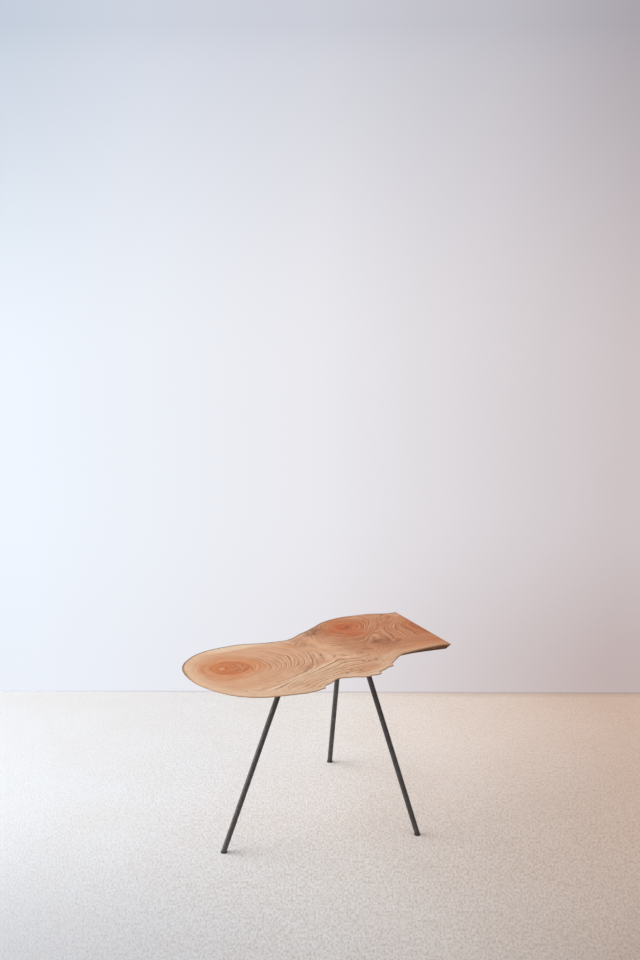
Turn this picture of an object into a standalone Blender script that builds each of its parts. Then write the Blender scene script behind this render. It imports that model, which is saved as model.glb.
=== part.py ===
"""Slab side table: a live-edge cross-cut slab carried by three splayed steel rods.

Units are metres and +Z is up. +X runs along the slab, from its round lobe to its sawn end.
The origin is on the floor, at the middle of the table's footprint box.
"""

import math

import bmesh
import bpy
from mathutils import Vector

# Driving sizes of the table
TABLE_HEIGHT = 0.435
SLAB_LENGTH = 0.694
SLAB_WIDTH = 0.3815
SLAB_THICKNESS = 0.020

# Slab edge: an eased corner, a thin upright rim, then an underside hewn away to the middle
ARRIS = 0.0008
RIM_HEIGHT = 0.0012
UNDERCUT_WIDTH = 0.048
EDGE_STEP = 0.010
UNDERCUT_SMOOTHING = 16

# Rods
ROD_DIAMETER = 0.013
LEG_LEAN = math.radians(21.0)

# Foot pads
PAD_OVERHANG = 0.0008
PAD_THICKNESS = 0.003
PAD_CHAMFER = 0.0006

# Welds and mounting plates
WELD_LEG = 0.0042
WELD_FACE_SHARE = 0.42
PLATE_THICKNESS = 0.0045
PLATE_CHAMFER = 0.0008
PLATE_MARGIN = 0.003
BOLTS_PER_PLATE = 3
BOLT_ROOM = 0.0018

# Button-head bolts, plain washers and threaded inserts
BOLT_DIAMETER = 0.006
BOLT_END_ROOM = 0.0036
BOLT_TIP_CHAMFER = 0.0008
HEAD_OVERHANG = 0.00225
HEAD_HEIGHT = 0.0033
HEAD_RIM = 0.0008
HEAD_STEPS = 3
SOCKET_ACROSS_FLATS = 0.004
SOCKET_DEPTH = 0.0021
WASHER_OVERHANG = 0.003
WASHER_THICKNESS = 0.0012
INSERT_WALL = 0.0012
INSERT_CHAMFER = 0.0005

# Wood left over each insert's hole, and the drill's point beyond the insert
HOLE_COVER = 0.0055
DRILL_POINT = 0.0015

# Room between pieces that touch, and how far a cutter runs past what it cuts
CLEARANCE = 0.0003
OVERRUN = 0.002

# Points round each turned piece, and the sharpest bend that is shaded smooth
ROD_SIDES = 32
PLATE_SIDES = 48
BOLT_SIDES = 18
SMOOTH_ANGLE = math.radians(35.0)

# The live edge as (share of length, share of width, share of the undercut), from the far
# sawn corner along the back, round the lobe and along the front to the torn stretch
LIVE_EDGE_SHARES = (
    (1.000, 0.803, 1.00),
    (0.983, 0.809, 1.00),
    (0.961, 0.822, 1.00),
    (0.937, 0.853, 1.00),
    (0.909, 0.885, 1.00),
    (0.875, 0.913, 1.00),
    (0.836, 0.936, 1.00),
    (0.800, 0.958, 1.00),
    (0.756, 0.966, 1.00),
    (0.720, 0.963, 1.00),
    (0.693, 0.954, 1.00),
    (0.648, 0.921, 1.00),
    (0.598, 0.890, 1.00),
    (0.558, 0.872, 1.00),
    (0.520, 0.845, 1.00),
    (0.486, 0.834, 1.00),
    (0.451, 0.851, 1.00),
    (0.411, 0.877, 1.00),
    (0.370, 0.915, 1.00),
    (0.333, 0.953, 1.00),
    (0.295, 0.975, 1.00),
    (0.245, 0.993, 1.00),
    (0.195, 1.000, 1.00),
    (0.148, 0.987, 1.00),
    (0.105, 0.955, 1.00),
    (0.059, 0.894, 1.00),
    (0.026, 0.809, 1.00),
    (0.006, 0.691, 1.00),
    (0.000, 0.578, 1.00),
    (0.006, 0.484, 1.00),
    (0.022, 0.371, 1.00),
    (0.046, 0.277, 1.00),
    (0.085, 0.193, 1.00),
    (0.125, 0.138, 1.00),
    (0.166, 0.104, 1.00),
    (0.209, 0.072, 1.00),
    (0.252, 0.043, 1.00),
    (0.288, 0.034, 1.00),
)

# The torn stretch of the front edge, where the wood broke in short straight steps
TORN_EDGE_SHARES = (
    (0.318, 0.037, 1.05),
    (0.326, 0.054, 1.05),
    (0.339, 0.067, 1.05),
    (0.362, 0.075, 1.05),
    (0.379, 0.087, 1.08),
    (0.396, 0.101, 1.12),
    (0.411, 0.105, 1.12),
    (0.429, 0.090, 1.12),
    (0.444, 0.075, 1.10),
    (0.460, 0.064, 1.05),
    (0.476, 0.038, 1.00),
    (0.491, 0.021, 1.00),
    (0.507, 0.012, 1.00),
    (0.517, 0.018, 1.00),
    (0.527, 0.007, 0.95),
    (0.540, 0.000, 0.95),
    (0.550, 0.004, 0.95),
    (0.558, 0.025, 0.95),
    (0.569, 0.035, 0.95),
    (0.586, 0.041, 0.95),
    (0.607, 0.054, 0.90),
    (0.627, 0.056, 0.90),
    (0.637, 0.075, 0.88),
    (0.651, 0.098, 0.88),
    (0.673, 0.122, 0.90),
    (0.695, 0.143, 0.92),
    (0.715, 0.161, 0.92),
)

# The smooth end of the front edge, up to the near sawn corner
NEAR_EDGE_SHARES = (
    (0.735, 0.173, 0.88),
    (0.771, 0.168, 0.77),
    (0.817, 0.160, 0.59),
    (0.860, 0.148, 0.48),
    (0.895, 0.135, 0.45),
    (0.919, 0.117, 0.44),
    (0.932, 0.106, 0.44),
)

# Each rod's axis on the slab's underside as shares of length and width, and the way it leans
LEG_PLACE_SHARES = {
    "left": (0.285, 0.380),
    "right": (0.609, 0.287),
    "back": (0.683, 0.707),
}
LEG_HEADING = {
    "left": math.radians(166.5),
    "right": math.radians(-73.0),
    "back": math.radians(61.5),
}

UNDERSIDE_HEIGHT = TABLE_HEIGHT - SLAB_THICKNESS
LEAN_SLOPE = math.tan(LEG_LEAN)

# Half widths that follow from the rod and the bolt
ROD_REACH = ROD_DIAMETER / 2 / math.cos(LEG_LEAN)
PAD_RADIUS = ROD_REACH + PAD_OVERHANG
BORE_RADIUS = BOLT_DIAMETER / 2 + CLEARANCE
HEAD_RADIUS = BOLT_DIAMETER / 2 + HEAD_OVERHANG
WASHER_RADIUS = BOLT_DIAMETER / 2 + WASHER_OVERHANG
INSERT_RADIUS = BORE_RADIUS + INSERT_WALL
BOLT_CIRCLE_RADIUS = ROD_REACH + WELD_LEG + BOLT_ROOM + WASHER_RADIUS
PLATE_RADIUS = BOLT_CIRCLE_RADIUS + WASHER_RADIUS + PLATE_MARGIN

# Heights from the slab's underside, where each leg's own pieces stack up
INSERT_LENGTH = SLAB_THICKNESS - HOLE_COVER - DRILL_POINT
BOLT_TIP = INSERT_LENGTH - BOLT_END_ROOM
PLATE_TOP = -CLEARANCE
PLATE_BOTTOM = PLATE_TOP - PLATE_THICKNESS
ROD_TOP = PLATE_BOTTOM - CLEARANCE
WASHER_TOP = PLATE_BOTTOM - CLEARANCE
WASHER_BOTTOM = WASHER_TOP - WASHER_THICKNESS
HEAD_SEAT = WASHER_BOTTOM - CLEARANCE
PAD_BOTTOM = -UNDERSIDE_HEIGHT
PAD_TOP = PAD_BOTTOM + PAD_THICKNESS
ROD_BOTTOM = PAD_TOP + CLEARANCE


def clear_scene():
    for item in list(bpy.data.objects):
        bpy.data.objects.remove(item, do_unlink=True)


def make_material(name, colour, roughness, metallic):
    material = bpy.data.materials.new(name)
    material.use_nodes = True
    shader = material.node_tree.nodes["Principled BSDF"]
    shader.inputs["Base Color"].default_value = (*colour, 1.0)
    shader.inputs["Roughness"].default_value = roughness
    shader.inputs["Metallic"].default_value = metallic
    return material


def slab_wood():
    return make_material("oiled_slab_wood", (0.60, 0.35, 0.19), 0.45, 0.0)


def blackened_steel():
    return make_material("blackened_steel", (0.035, 0.033, 0.034), 0.38, 0.85)


def weld_steel():
    return make_material("weld_steel", (0.05, 0.045, 0.042), 0.55, 0.85)


def bolt_steel():
    return make_material("black_oxide_steel", (0.03, 0.03, 0.032), 0.42, 0.90)


def washer_steel():
    return make_material("zinc_steel", (0.42, 0.42, 0.43), 0.35, 0.95)


def insert_brass():
    return make_material("insert_brass", (0.62, 0.45, 0.17), 0.32, 1.0)


def pad_rubber():
    return make_material("pad_rubber", (0.025, 0.025, 0.025), 0.75, 0.0)


def make_mesh(name, shape, material):
    """Turn a bmesh into a mesh with outward faces, smooth shading and one material."""
    bmesh.ops.recalc_face_normals(shape, faces=shape.faces)
    mesh = bpy.data.meshes.new(name)
    shape.to_mesh(mesh)
    shape.free()
    mesh.materials.append(material)
    mesh.shade_smooth()
    mesh.set_sharp_from_angle(angle=SMOOTH_ANGLE)
    return mesh


def place_object(name, mesh, parent, location=(0, 0, 0)):
    item = bpy.data.objects.new(name, mesh)
    item.location = location
    item.parent = parent
    bpy.context.collection.objects.link(item)
    return item


def add_object(name, shape, material, parent, location=(0, 0, 0)):
    return place_object(name, make_mesh(name, shape, material), parent, location)


def add_empty(name, parent=None, location=(0, 0, 0), turn=0.0):
    item = bpy.data.objects.new(name, None)
    item.empty_display_size = ROD_DIAMETER
    item.location = location
    item.rotation_euler = (0, 0, turn)
    item.parent = parent
    bpy.context.collection.objects.link(item)
    return item


def loft(shape, rings, closed=False):
    """Skin rings of points in order: capped at both ends, or joined round into a ring."""
    rows = [[shape.verts.new(point) for point in ring] for ring in rings]
    pairs = list(zip(rows, rows[1:]))
    if closed:
        pairs.append((rows[-1], rows[0]))
    else:
        shape.faces.new(reversed(rows[0]))
        shape.faces.new(rows[-1])
    for lower, upper in pairs:
        for i in range(len(lower)):
            j = (i + 1) % len(lower)
            shape.faces.new((lower[i], lower[j], upper[j], upper[i]))


def circle(radius, height, sides, centre=(0, 0)):
    """Points of a level circle."""
    turns = [2 * math.pi * i / sides for i in range(sides)]
    return [
        Vector((centre[0] + radius * math.cos(t), centre[1] + radius * math.sin(t), height))
        for t in turns
    ]


def hexagon(across_flats, height, sides):
    """A level hexagon with as many points as the circles round it."""
    points = []
    for i in range(sides):
        turn = 2 * math.pi * i / sides
        off_flat = (turn + math.pi / 6) % (math.pi / 3) - math.pi / 6
        reach = across_flats / 2 / math.cos(off_flat)
        points.append(Vector((reach * math.cos(turn), reach * math.sin(turn), height)))
    return points


def leaning_ring(radius, height, sides):
    """A rod's level section at a height below the underside, where +X is its lean."""
    middle = -height * LEAN_SLOPE
    return [
        Vector((middle + point.x / math.cos(LEG_LEAN), point.y, height))
        for point in circle(radius, height, sides)
    ]


def bolt_places():
    """Bolt centres in a leg's own frame, on a circle round the rod's end."""
    middle = -PLATE_BOTTOM * LEAN_SLOPE
    places = []
    for i in range(BOLTS_PER_PLATE):
        turn = 2 * math.pi * (i + 0.5) / BOLTS_PER_PLATE
        places.append(Vector((
            middle + BOLT_CIRCLE_RADIUS * math.cos(turn), BOLT_CIRCLE_RADIUS * math.sin(turn), 0)))
    return places


def on_slab(length_share, width_share):
    """A place on the slab, measured from the low corner of its outline's box."""
    return Vector((SLAB_LENGTH * length_share, SLAB_WIDTH * width_share, 0))


def smooth_curve(controls):
    """Points about one edge step apart on a smooth curve through rows of shares."""
    ends = [controls[0], *controls, controls[-1]]
    points = []
    for before, start, end, after in zip(ends, ends[1:], ends[2:], ends[3:]):
        span = (on_slab(*end[:2]) - on_slab(*start[:2])).length
        steps = max(1, round(span / EDGE_STEP))
        for k in range(steps):
            t = k / steps
            points.append(tuple(
                0.5 * (2 * b + (c - a) * t + (2 * a - 5 * b + 4 * c - d) * t ** 2
                       + (3 * b - a - 3 * c + d) * t ** 3)
                for a, b, c, d in zip(before, start, end, after)))
    points.append(controls[-1])
    return points


def rim_rows():
    """The whole live edge as rows of shares, from the far sawn corner to the near one."""
    return (smooth_curve(LIVE_EDGE_SHARES)
            + list(TORN_EDGE_SHARES)
            + smooth_curve(NEAR_EDGE_SHARES))


def inward_normals(points):
    """Level normals to the left of an open line, which at its ends follow the sawn end."""
    sawn = (points[0] - points[-1]).normalized()
    normals = []
    for before, after in zip(points, points[2:]):
        along = (after - before).normalized()
        normals.append(Vector((-along.y, along.x, 0)))
    return [-sawn, *normals, sawn]


def smoothed(points, passes):
    """An open line with its short bends eased away and its ends kept."""
    for _ in range(passes):
        middle = [
            (before + 2 * point + after) / 4
            for before, point, after in zip(points, points[1:], points[2:])
        ]
        points = [points[0], *middle, points[-1]]
    return points


def eased_inward(points, distance):
    """The top face's outline: the rim drawn in all round, and at the sawn end too."""
    sawn = (points[0] - points[-1]).normalized()
    across = Vector((-sawn.y, sawn.x, 0))
    eased = [p + distance * n for p, n in zip(points, inward_normals(points))]
    eased[0] = eased[0] + distance * across
    eased[-1] = eased[-1] + distance * across
    return eased


def underside_outline(points, undercut_shares):
    """The outline of the flat underside, set in from the rim by the undercut."""
    line = smoothed(points, UNDERCUT_SMOOTHING)
    inset = [
        point + UNDERCUT_WIDTH * share * normal
        for point, normal, share in zip(line, inward_normals(line), undercut_shares)
    ]
    return smoothed(inset, UNDERCUT_SMOOTHING)


def lifted(points, height):
    return [Vector((point.x, point.y, height)) for point in points]


def build_slab(parent):
    """The slab: eased top face, thin rim, long undercut and an upright sawn end."""
    rows = rim_rows()
    rim = [on_slab(row[0], row[1]) for row in rows]
    under = underside_outline(rim, [row[2] for row in rows])
    shape = bmesh.new()
    loft(shape, [
        lifted(under, 0),
        lifted(rim, SLAB_THICKNESS - ARRIS - RIM_HEIGHT),
        lifted(rim, SLAB_THICKNESS - ARRIS),
        lifted(eased_inward(rim, ARRIS), SLAB_THICKNESS),
    ])
    return add_object("slab_top", shape, slab_wood(), parent, (0, 0, UNDERSIDE_HEIGHT))


def build_rod(name, parent, material):
    """A leaning round bar with both ends cut level."""
    shape = bmesh.new()
    loft(shape, [
        leaning_ring(ROD_DIAMETER / 2, ROD_BOTTOM, ROD_SIDES),
        leaning_ring(ROD_DIAMETER / 2, ROD_TOP, ROD_SIDES),
    ])
    add_object(name, shape, material, parent)


def build_weld(name, parent, material):
    """A fillet weld in the corner between the rod and its plate."""
    near = ROD_DIAMETER / 2 + CLEARANCE
    far = ROD_DIAMETER / 2 + WELD_LEG
    face = WELD_LEG * WELD_FACE_SHARE
    shape = bmesh.new()
    loft(shape, [
        leaning_ring(near, ROD_TOP - WELD_LEG, ROD_SIDES),
        leaning_ring(near + face, ROD_TOP - face, ROD_SIDES),
        leaning_ring(far, ROD_TOP, ROD_SIDES),
        leaning_ring(near, ROD_TOP, ROD_SIDES),
    ], closed=True)
    add_object(name, shape, material, parent)


def build_pad(name, parent, material):
    """A round rubber pad on the floor, under the middle of the rod's end."""
    middle = (-ROD_BOTTOM * LEAN_SLOPE, 0)
    shape = bmesh.new()
    loft(shape, [
        circle(PAD_RADIUS - PAD_CHAMFER, PAD_BOTTOM, ROD_SIDES, middle),
        circle(PAD_RADIUS, PAD_BOTTOM + PAD_CHAMFER, ROD_SIDES, middle),
        circle(PAD_RADIUS, PAD_TOP - PAD_CHAMFER, ROD_SIDES, middle),
        circle(PAD_RADIUS - PAD_CHAMFER, PAD_TOP, ROD_SIDES, middle),
    ])
    add_object(name, shape, material, parent)


def drills(name, parent, radius, bottom, top):
    """Guides that drill one upright hole at each bolt centre."""
    shape = bmesh.new()
    for place in bolt_places():
        loft(shape, [circle(radius, z, BOLT_SIDES, place) for z in (bottom, top)])
    guide = add_object(name, shape, blackened_steel(), parent)
    guide.hide_render = True
    guide.display_type = "WIRE"
    return guide


def drill_out(item, guide):
    cut = item.modifiers.new(guide.name, "BOOLEAN")
    cut.operation = "DIFFERENCE"
    cut.object = guide


def build_plate(name, parent, material):
    """A round steel plate with chamfered edges and clearance holes for its bolts."""
    middle = (-PLATE_BOTTOM * LEAN_SLOPE, 0)
    shape = bmesh.new()
    loft(shape, [
        circle(PLATE_RADIUS - PLATE_CHAMFER, PLATE_BOTTOM, PLATE_SIDES, middle),
        circle(PLATE_RADIUS, PLATE_BOTTOM + PLATE_CHAMFER, PLATE_SIDES, middle),
        circle(PLATE_RADIUS, PLATE_TOP, PLATE_SIDES, middle),
    ])
    plate = add_object(name, shape, material, parent)
    drill_out(plate, drills(
        name + "_drill", parent, BORE_RADIUS, PLATE_BOTTOM - OVERRUN, PLATE_TOP + OVERRUN))


def bolt_rings():
    """Rings of a button-head bolt, from the floor of its socket round to its tip."""
    shank = BOLT_DIAMETER / 2
    face = HEAD_SEAT - HEAD_HEIGHT
    crown = SOCKET_ACROSS_FLATS / math.sqrt(3) + HEAD_RIM
    rings = [
        hexagon(SOCKET_ACROSS_FLATS, face + SOCKET_DEPTH, BOLT_SIDES),
        hexagon(SOCKET_ACROSS_FLATS, face, BOLT_SIDES),
    ]
    for step in range(HEAD_STEPS + 1):
        turn = math.pi / 2 * step / HEAD_STEPS
        rings.append(circle(
            crown + (HEAD_RADIUS - crown) * math.sin(turn),
            face + (HEAD_HEIGHT - HEAD_RIM) * (1 - math.cos(turn)), BOLT_SIDES))
    rings.append(circle(HEAD_RADIUS, HEAD_SEAT, BOLT_SIDES))
    rings.append(circle(shank, HEAD_SEAT, BOLT_SIDES))
    rings.append(circle(shank, BOLT_TIP - BOLT_TIP_CHAMFER, BOLT_SIDES))
    rings.append(circle(shank - BOLT_TIP_CHAMFER, BOLT_TIP, BOLT_SIDES))
    return rings


def bolt_mesh():
    shape = bmesh.new()
    loft(shape, bolt_rings())
    return make_mesh("button_head_bolt", shape, bolt_steel())


def washer_mesh():
    shape = bmesh.new()
    loft(shape, [
        circle(BORE_RADIUS, WASHER_BOTTOM, BOLT_SIDES),
        circle(WASHER_RADIUS, WASHER_BOTTOM, BOLT_SIDES),
        circle(WASHER_RADIUS, WASHER_TOP, BOLT_SIDES),
        circle(BORE_RADIUS, WASHER_TOP, BOLT_SIDES),
    ], closed=True)
    return make_mesh("plain_washer", shape, washer_steel())


def insert_mesh():
    """A threaded sleeve that sits in the slab, flush with its underside."""
    shape = bmesh.new()
    loft(shape, [
        circle(BORE_RADIUS, 0, BOLT_SIDES),
        circle(INSERT_RADIUS, 0, BOLT_SIDES),
        circle(INSERT_RADIUS, INSERT_LENGTH - INSERT_CHAMFER, BOLT_SIDES),
        circle(INSERT_RADIUS - INSERT_CHAMFER, INSERT_LENGTH, BOLT_SIDES),
        circle(BORE_RADIUS, INSERT_LENGTH, BOLT_SIDES),
    ], closed=True)
    return make_mesh("threaded_insert", shape, insert_brass())


def place_fasteners(kind, side, mesh, parent):
    """One copy of a fastener's mesh at each bolt centre of a leg."""
    for number, place in enumerate(bolt_places(), start=1):
        place_object(f"{kind}_{side}_{number}", mesh, parent, place)


def build_leg(side, parent, slab, fasteners):
    """One leg: its rod, weld, plate, fasteners and pad, in a frame turned to its lean."""
    place = on_slab(*LEG_PLACE_SHARES[side])
    leg = add_empty("leg_" + side, parent, (place.x, place.y, UNDERSIDE_HEIGHT), LEG_HEADING[side])
    build_rod("leg_rod_" + side, leg, blackened_steel())
    build_weld("weld_bead_" + side, leg, weld_steel())
    build_plate("mount_plate_" + side, leg, blackened_steel())
    build_pad("foot_pad_" + side, leg, pad_rubber())
    for kind, mesh in fasteners.items():
        place_fasteners(kind, side, mesh, leg)
    drill_out(slab, drills(
        "insert_drill_" + side, leg, INSERT_RADIUS + CLEARANCE,
        -OVERRUN, INSERT_LENGTH + DRILL_POINT))


def pad_centre(side):
    """The middle of a leg's pad, measured from the low corner of the slab's box."""
    run = -ROD_BOTTOM * LEAN_SLOPE
    heading = LEG_HEADING[side]
    return on_slab(*LEG_PLACE_SHARES[side]) + Vector(
        (run * math.cos(heading), run * math.sin(heading), 0))


def footprint_middle():
    """The middle of the box round the slab's outline and the three pads."""
    corners = [on_slab(row[0], row[1]) for row in rim_rows()]
    for side in LEG_PLACE_SHARES:
        reach = Vector((PAD_RADIUS, PAD_RADIUS, 0))
        corners += [pad_centre(side) - reach, pad_centre(side) + reach]
    low = Vector([min(corner[i] for corner in corners) for i in range(3)])
    high = Vector([max(corner[i] for corner in corners) for i in range(3)])
    return (low + high) / 2


def main():
    clear_scene()
    table = add_empty("table_corner", location=-footprint_middle())
    slab = build_slab(table)
    fasteners = {"bolt": bolt_mesh(), "washer": washer_mesh(), "insert": insert_mesh()}
    for side in LEG_PLACE_SHARES:
        build_leg(side, table, slab, fasteners)


main()
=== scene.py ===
"""Looks of a low side table: a live-edge wood slab on three splayed round steel rods.

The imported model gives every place. Each piece here stands for one of its nodes, with a
finer mesh and its own finish. Units are metres and +Z is up. +X runs along the slab, from
its round lobe to its sawn end.
"""

import logging
import math
from dataclasses import dataclass
from enum import Enum
from typing import NamedTuple, Optional, Sequence, Union

import bmesh
import bpy
import numpy as np
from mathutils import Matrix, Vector
from mathutils.geometry import delaunay_2d_cdt


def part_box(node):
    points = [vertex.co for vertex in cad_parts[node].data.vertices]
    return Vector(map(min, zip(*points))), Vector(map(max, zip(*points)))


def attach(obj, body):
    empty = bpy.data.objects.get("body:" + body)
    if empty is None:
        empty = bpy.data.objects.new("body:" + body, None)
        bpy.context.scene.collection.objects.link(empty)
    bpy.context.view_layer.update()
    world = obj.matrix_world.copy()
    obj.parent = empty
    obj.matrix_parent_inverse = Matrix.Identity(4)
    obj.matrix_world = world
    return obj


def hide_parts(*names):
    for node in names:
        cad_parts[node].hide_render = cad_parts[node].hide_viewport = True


LOG = logging.getLogger("slab_side_table")
BODY = "root"
MM = 0.001
LEVEL_GAP = 0.02 * MM

Socket = bpy.types.NodeSocket
Value = Union[float, int, Sequence[float], Socket]
Colour = tuple[int, int, int]
Spot = tuple[float, float]
Ring = np.ndarray


def tone(red: int, green: int, blue: int) -> tuple[float, float, float, float]:
    """Turn a colour as a screen shows it into the linear colour that nodes use.

    Args:
        red: Red, 0 to 255.
        green: Green, 0 to 255.
        blue: Blue, 0 to 255.

    Returns:
        The linear red, green and blue, and a full alpha.
    """
    shares = [channel / 255 for channel in (red, green, blue)]
    linear = [s / 12.92 if s <= 0.04045 else ((s + 0.055) / 1.055) ** 2.4 for s in shares]
    return (*linear, 1.0)


def smooth_step(low: float, high: float, at: np.ndarray) -> np.ndarray:
    """Ease from 0 at low to 1 at high."""
    t = np.clip((at - low) / (high - low), 0.0, 1.0)
    return t * t * (3 - 2 * t)


class Graph:
    """A node tree, with short calls for the nodes that the finishes share.

    Its colours are written as a screen shows them, 0 to 255.
    """

    def __init__(self, name: str, for_world: bool = False) -> None:
        """Start the empty tree of a new material or world."""
        self.owner = (bpy.data.worlds if for_world else bpy.data.materials).new(name)
        self.owner.use_nodes = True
        self.tree = self.owner.node_tree
        self.tree.nodes.clear()
        self.output = self.node("OutputWorld" if for_world else "OutputMaterial")

    def feed(self, socket: Socket, value: Value) -> None:
        """Link a socket to another one, or set it to a plain value or colour."""
        if isinstance(value, bpy.types.NodeSocket):
            self.tree.links.new(value, socket)
        else:
            socket.default_value = tone(*value) if socket.type == "RGBA" else value

    def feed_all(self, made: bpy.types.Node, *values: Value) -> None:
        """Feed a node's first inputs in order."""
        for socket, value in zip(made.inputs, values):
            self.feed(socket, value)

    def node(self, kind: str, **settings: object) -> bpy.types.Node:
        """Add a node and set its properties.

        Args:
            kind: The node's type, without the ShaderNode in front.
            **settings: Properties of the node and their values.

        Returns:
            The new node.
        """
        made = self.tree.nodes.new("ShaderNode" + kind)
        for key, value in settings.items():
            setattr(made, key, value)
        return made

    def place(self) -> Socket:
        """Coordinates in the table's own frame."""
        return self.node("TexCoord").outputs["Object"]

    def stored(self, name: str) -> Socket:
        """A number that the mesh stores at each of its points."""
        return self.node("Attribute", attribute_name=name).outputs["Fac"]

    def maths(self, operation: str, *values: Value, clamp: bool = False) -> Socket:
        """Work out one number from others.

        Args:
            operation: The Math node's operation.
            *values: Numbers or sockets, in the node's order.
            clamp: Whether the result is kept between 0 and 1.

        Returns:
            The result.
        """
        made = self.node("Math", operation=operation, use_clamp=clamp)
        self.feed_all(made, *values)
        return made.outputs[0]

    def times(self, *values: Value) -> Socket:
        """Multiply two numbers."""
        return self.maths("MULTIPLY", *values)

    def scaled(self, place: Socket, by: Sequence[float]) -> Socket:
        """Coordinates stretched by three factors."""
        made = self.node("VectorMath", operation="MULTIPLY")
        self.feed_all(made, place, by)
        return made.outputs[0]

    def span(self, value: Value, low: float, high: float,
             start: float = 0.0, end: float = 1.0) -> Socket:
        """Ease a number from start to end while it goes from low to high.

        Args:
            value: The number.
            low: Where the change begins.
            high: Where the change ends.
            start: The result below low.
            end: The result above high.

        Returns:
            The eased number.
        """
        made = self.node("MapRange", interpolation_type="SMOOTHSTEP")
        self.feed_all(made, value, low, high, start, end)
        return made.outputs[0]

    def noise(self, place: Value, scale: float, detail: float = 3.0,
              roughness: float = 0.5, distortion: float = 0.0) -> Socket:
        """Cloudy noise from 0 to 1, about scale spots a metre."""
        made = self.node("TexNoise")
        self.feed(made.inputs["Vector"], place)
        for name, value in zip(("Scale", "Detail", "Roughness", "Distortion"),
                               (scale, detail, roughness, distortion)):
            made.inputs[name].default_value = value
        return made.outputs["Fac"]

    def random(self, value: Value) -> Socket:
        """A random number from 0 to 1 that stays the same for the same whole number."""
        made = self.node("TexWhiteNoise", noise_dimensions="1D")
        self.feed(made.inputs["W"], value)
        return made.outputs["Value"]

    def cells(self, place: Value, scale: float) -> Socket:
        """Distance to the nearest of scattered points, about scale points a metre."""
        made = self.node("TexVoronoi")
        self.feed(made.inputs["Vector"], place)
        made.inputs["Scale"].default_value = scale
        return made.outputs["Distance"]

    def mix(self, share: Value, first: Value, second: Value, how: str = "MIX") -> Socket:
        """Blend two colours.

        Args:
            share: How much of the second one shows, 0 to 1.
            first: The colour below.
            second: The colour on top.
            how: The blend, as the Mix node names it.

        Returns:
            The blended colour.
        """
        made = self.node("Mix", data_type="RGBA", blend_type=how, clamp_factor=True)
        self.feed(made.inputs[0], share)
        self.feed(made.inputs[6], first)
        self.feed(made.inputs[7], second)
        return made.outputs[2]

    def dim(self, colour: Value, by: Value, share: Value = 1.0) -> Socket:
        """Multiply a colour by another one, by a share from 0 to 1."""
        return self.mix(share, colour, by, "MULTIPLY")

    def along(self, place: Value, way: Sequence[float]) -> Socket:
        """How far a place lies along a direction."""
        made = self.node("VectorMath", operation="DOT_PRODUCT")
        self.feed_all(made, place, tuple(way))
        return made.outputs["Value"]

    def joined(self, *parts: Value) -> Socket:
        """Coordinates from their x, y and z."""
        made = self.node("CombineXYZ")
        self.feed_all(made, *parts)
        return made.outputs[0]

    def ramp(self, share: Value, stops: Sequence[tuple[float, Colour]]) -> Socket:
        """Turn a number into a colour by stops of (number, colour)."""
        made = self.node("ValToRGB")
        self.feed(made.inputs[0], share)
        points = made.color_ramp.elements
        while len(points) < len(stops):
            points.new(1.0)
        for point, (at, colour) in zip(points, stops):
            point.position = at
            point.color = tone(*colour)
        return made.outputs[0]

    def bump(self, height: Value, depth: float, under: Optional[Socket] = None) -> Socket:
        """A surface relief of this depth in metres, on top of another relief."""
        made = self.node("Bump")
        self.feed(made.inputs["Height"], height)
        self.feed(made.inputs["Distance"], depth)
        if under is not None:
            self.feed(made.inputs["Normal"], under)
        return made.outputs["Normal"]

    def surface(self, colour: Value, roughness: Value, normal: Optional[Socket] = None,
                **fixed: float) -> bpy.types.Material:
        """Close the tree with one Principled BSDF.

        Args:
            colour: The base colour.
            roughness: The roughness.
            normal: The surface relief, if there is one.
            **fixed: Other inputs by name, with _ for a space, set on the shader itself.

        Returns:
            The finished material.
        """
        shader = self.node("BsdfPrincipled")
        self.feed(shader.inputs["Base Color"], colour)
        self.feed(shader.inputs["Roughness"], roughness)
        if normal is not None:
            self.feed(shader.inputs["Normal"], normal)
        for name, value in fixed.items():
            shader.inputs[name.replace("_", " ")].default_value = value
        self.feed(self.output.inputs["Surface"], shader.outputs[0])
        return self.owner

    def blend(self, share: Value, first: Socket, second: Socket) -> bpy.types.ID:
        """Close the tree with a blend of two shaders."""
        made = self.node("MixShader")
        self.feed_all(made, share, first, second)
        self.feed(self.output.inputs["Surface"], made.outputs[0])
        return self.owner


class Cut(Enum):
    """Which cut of the slab a wood finish covers."""

    TOP = "top"
    UNDERSIDE = "underside"
    SAWN_END = "sawn_end"


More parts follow.
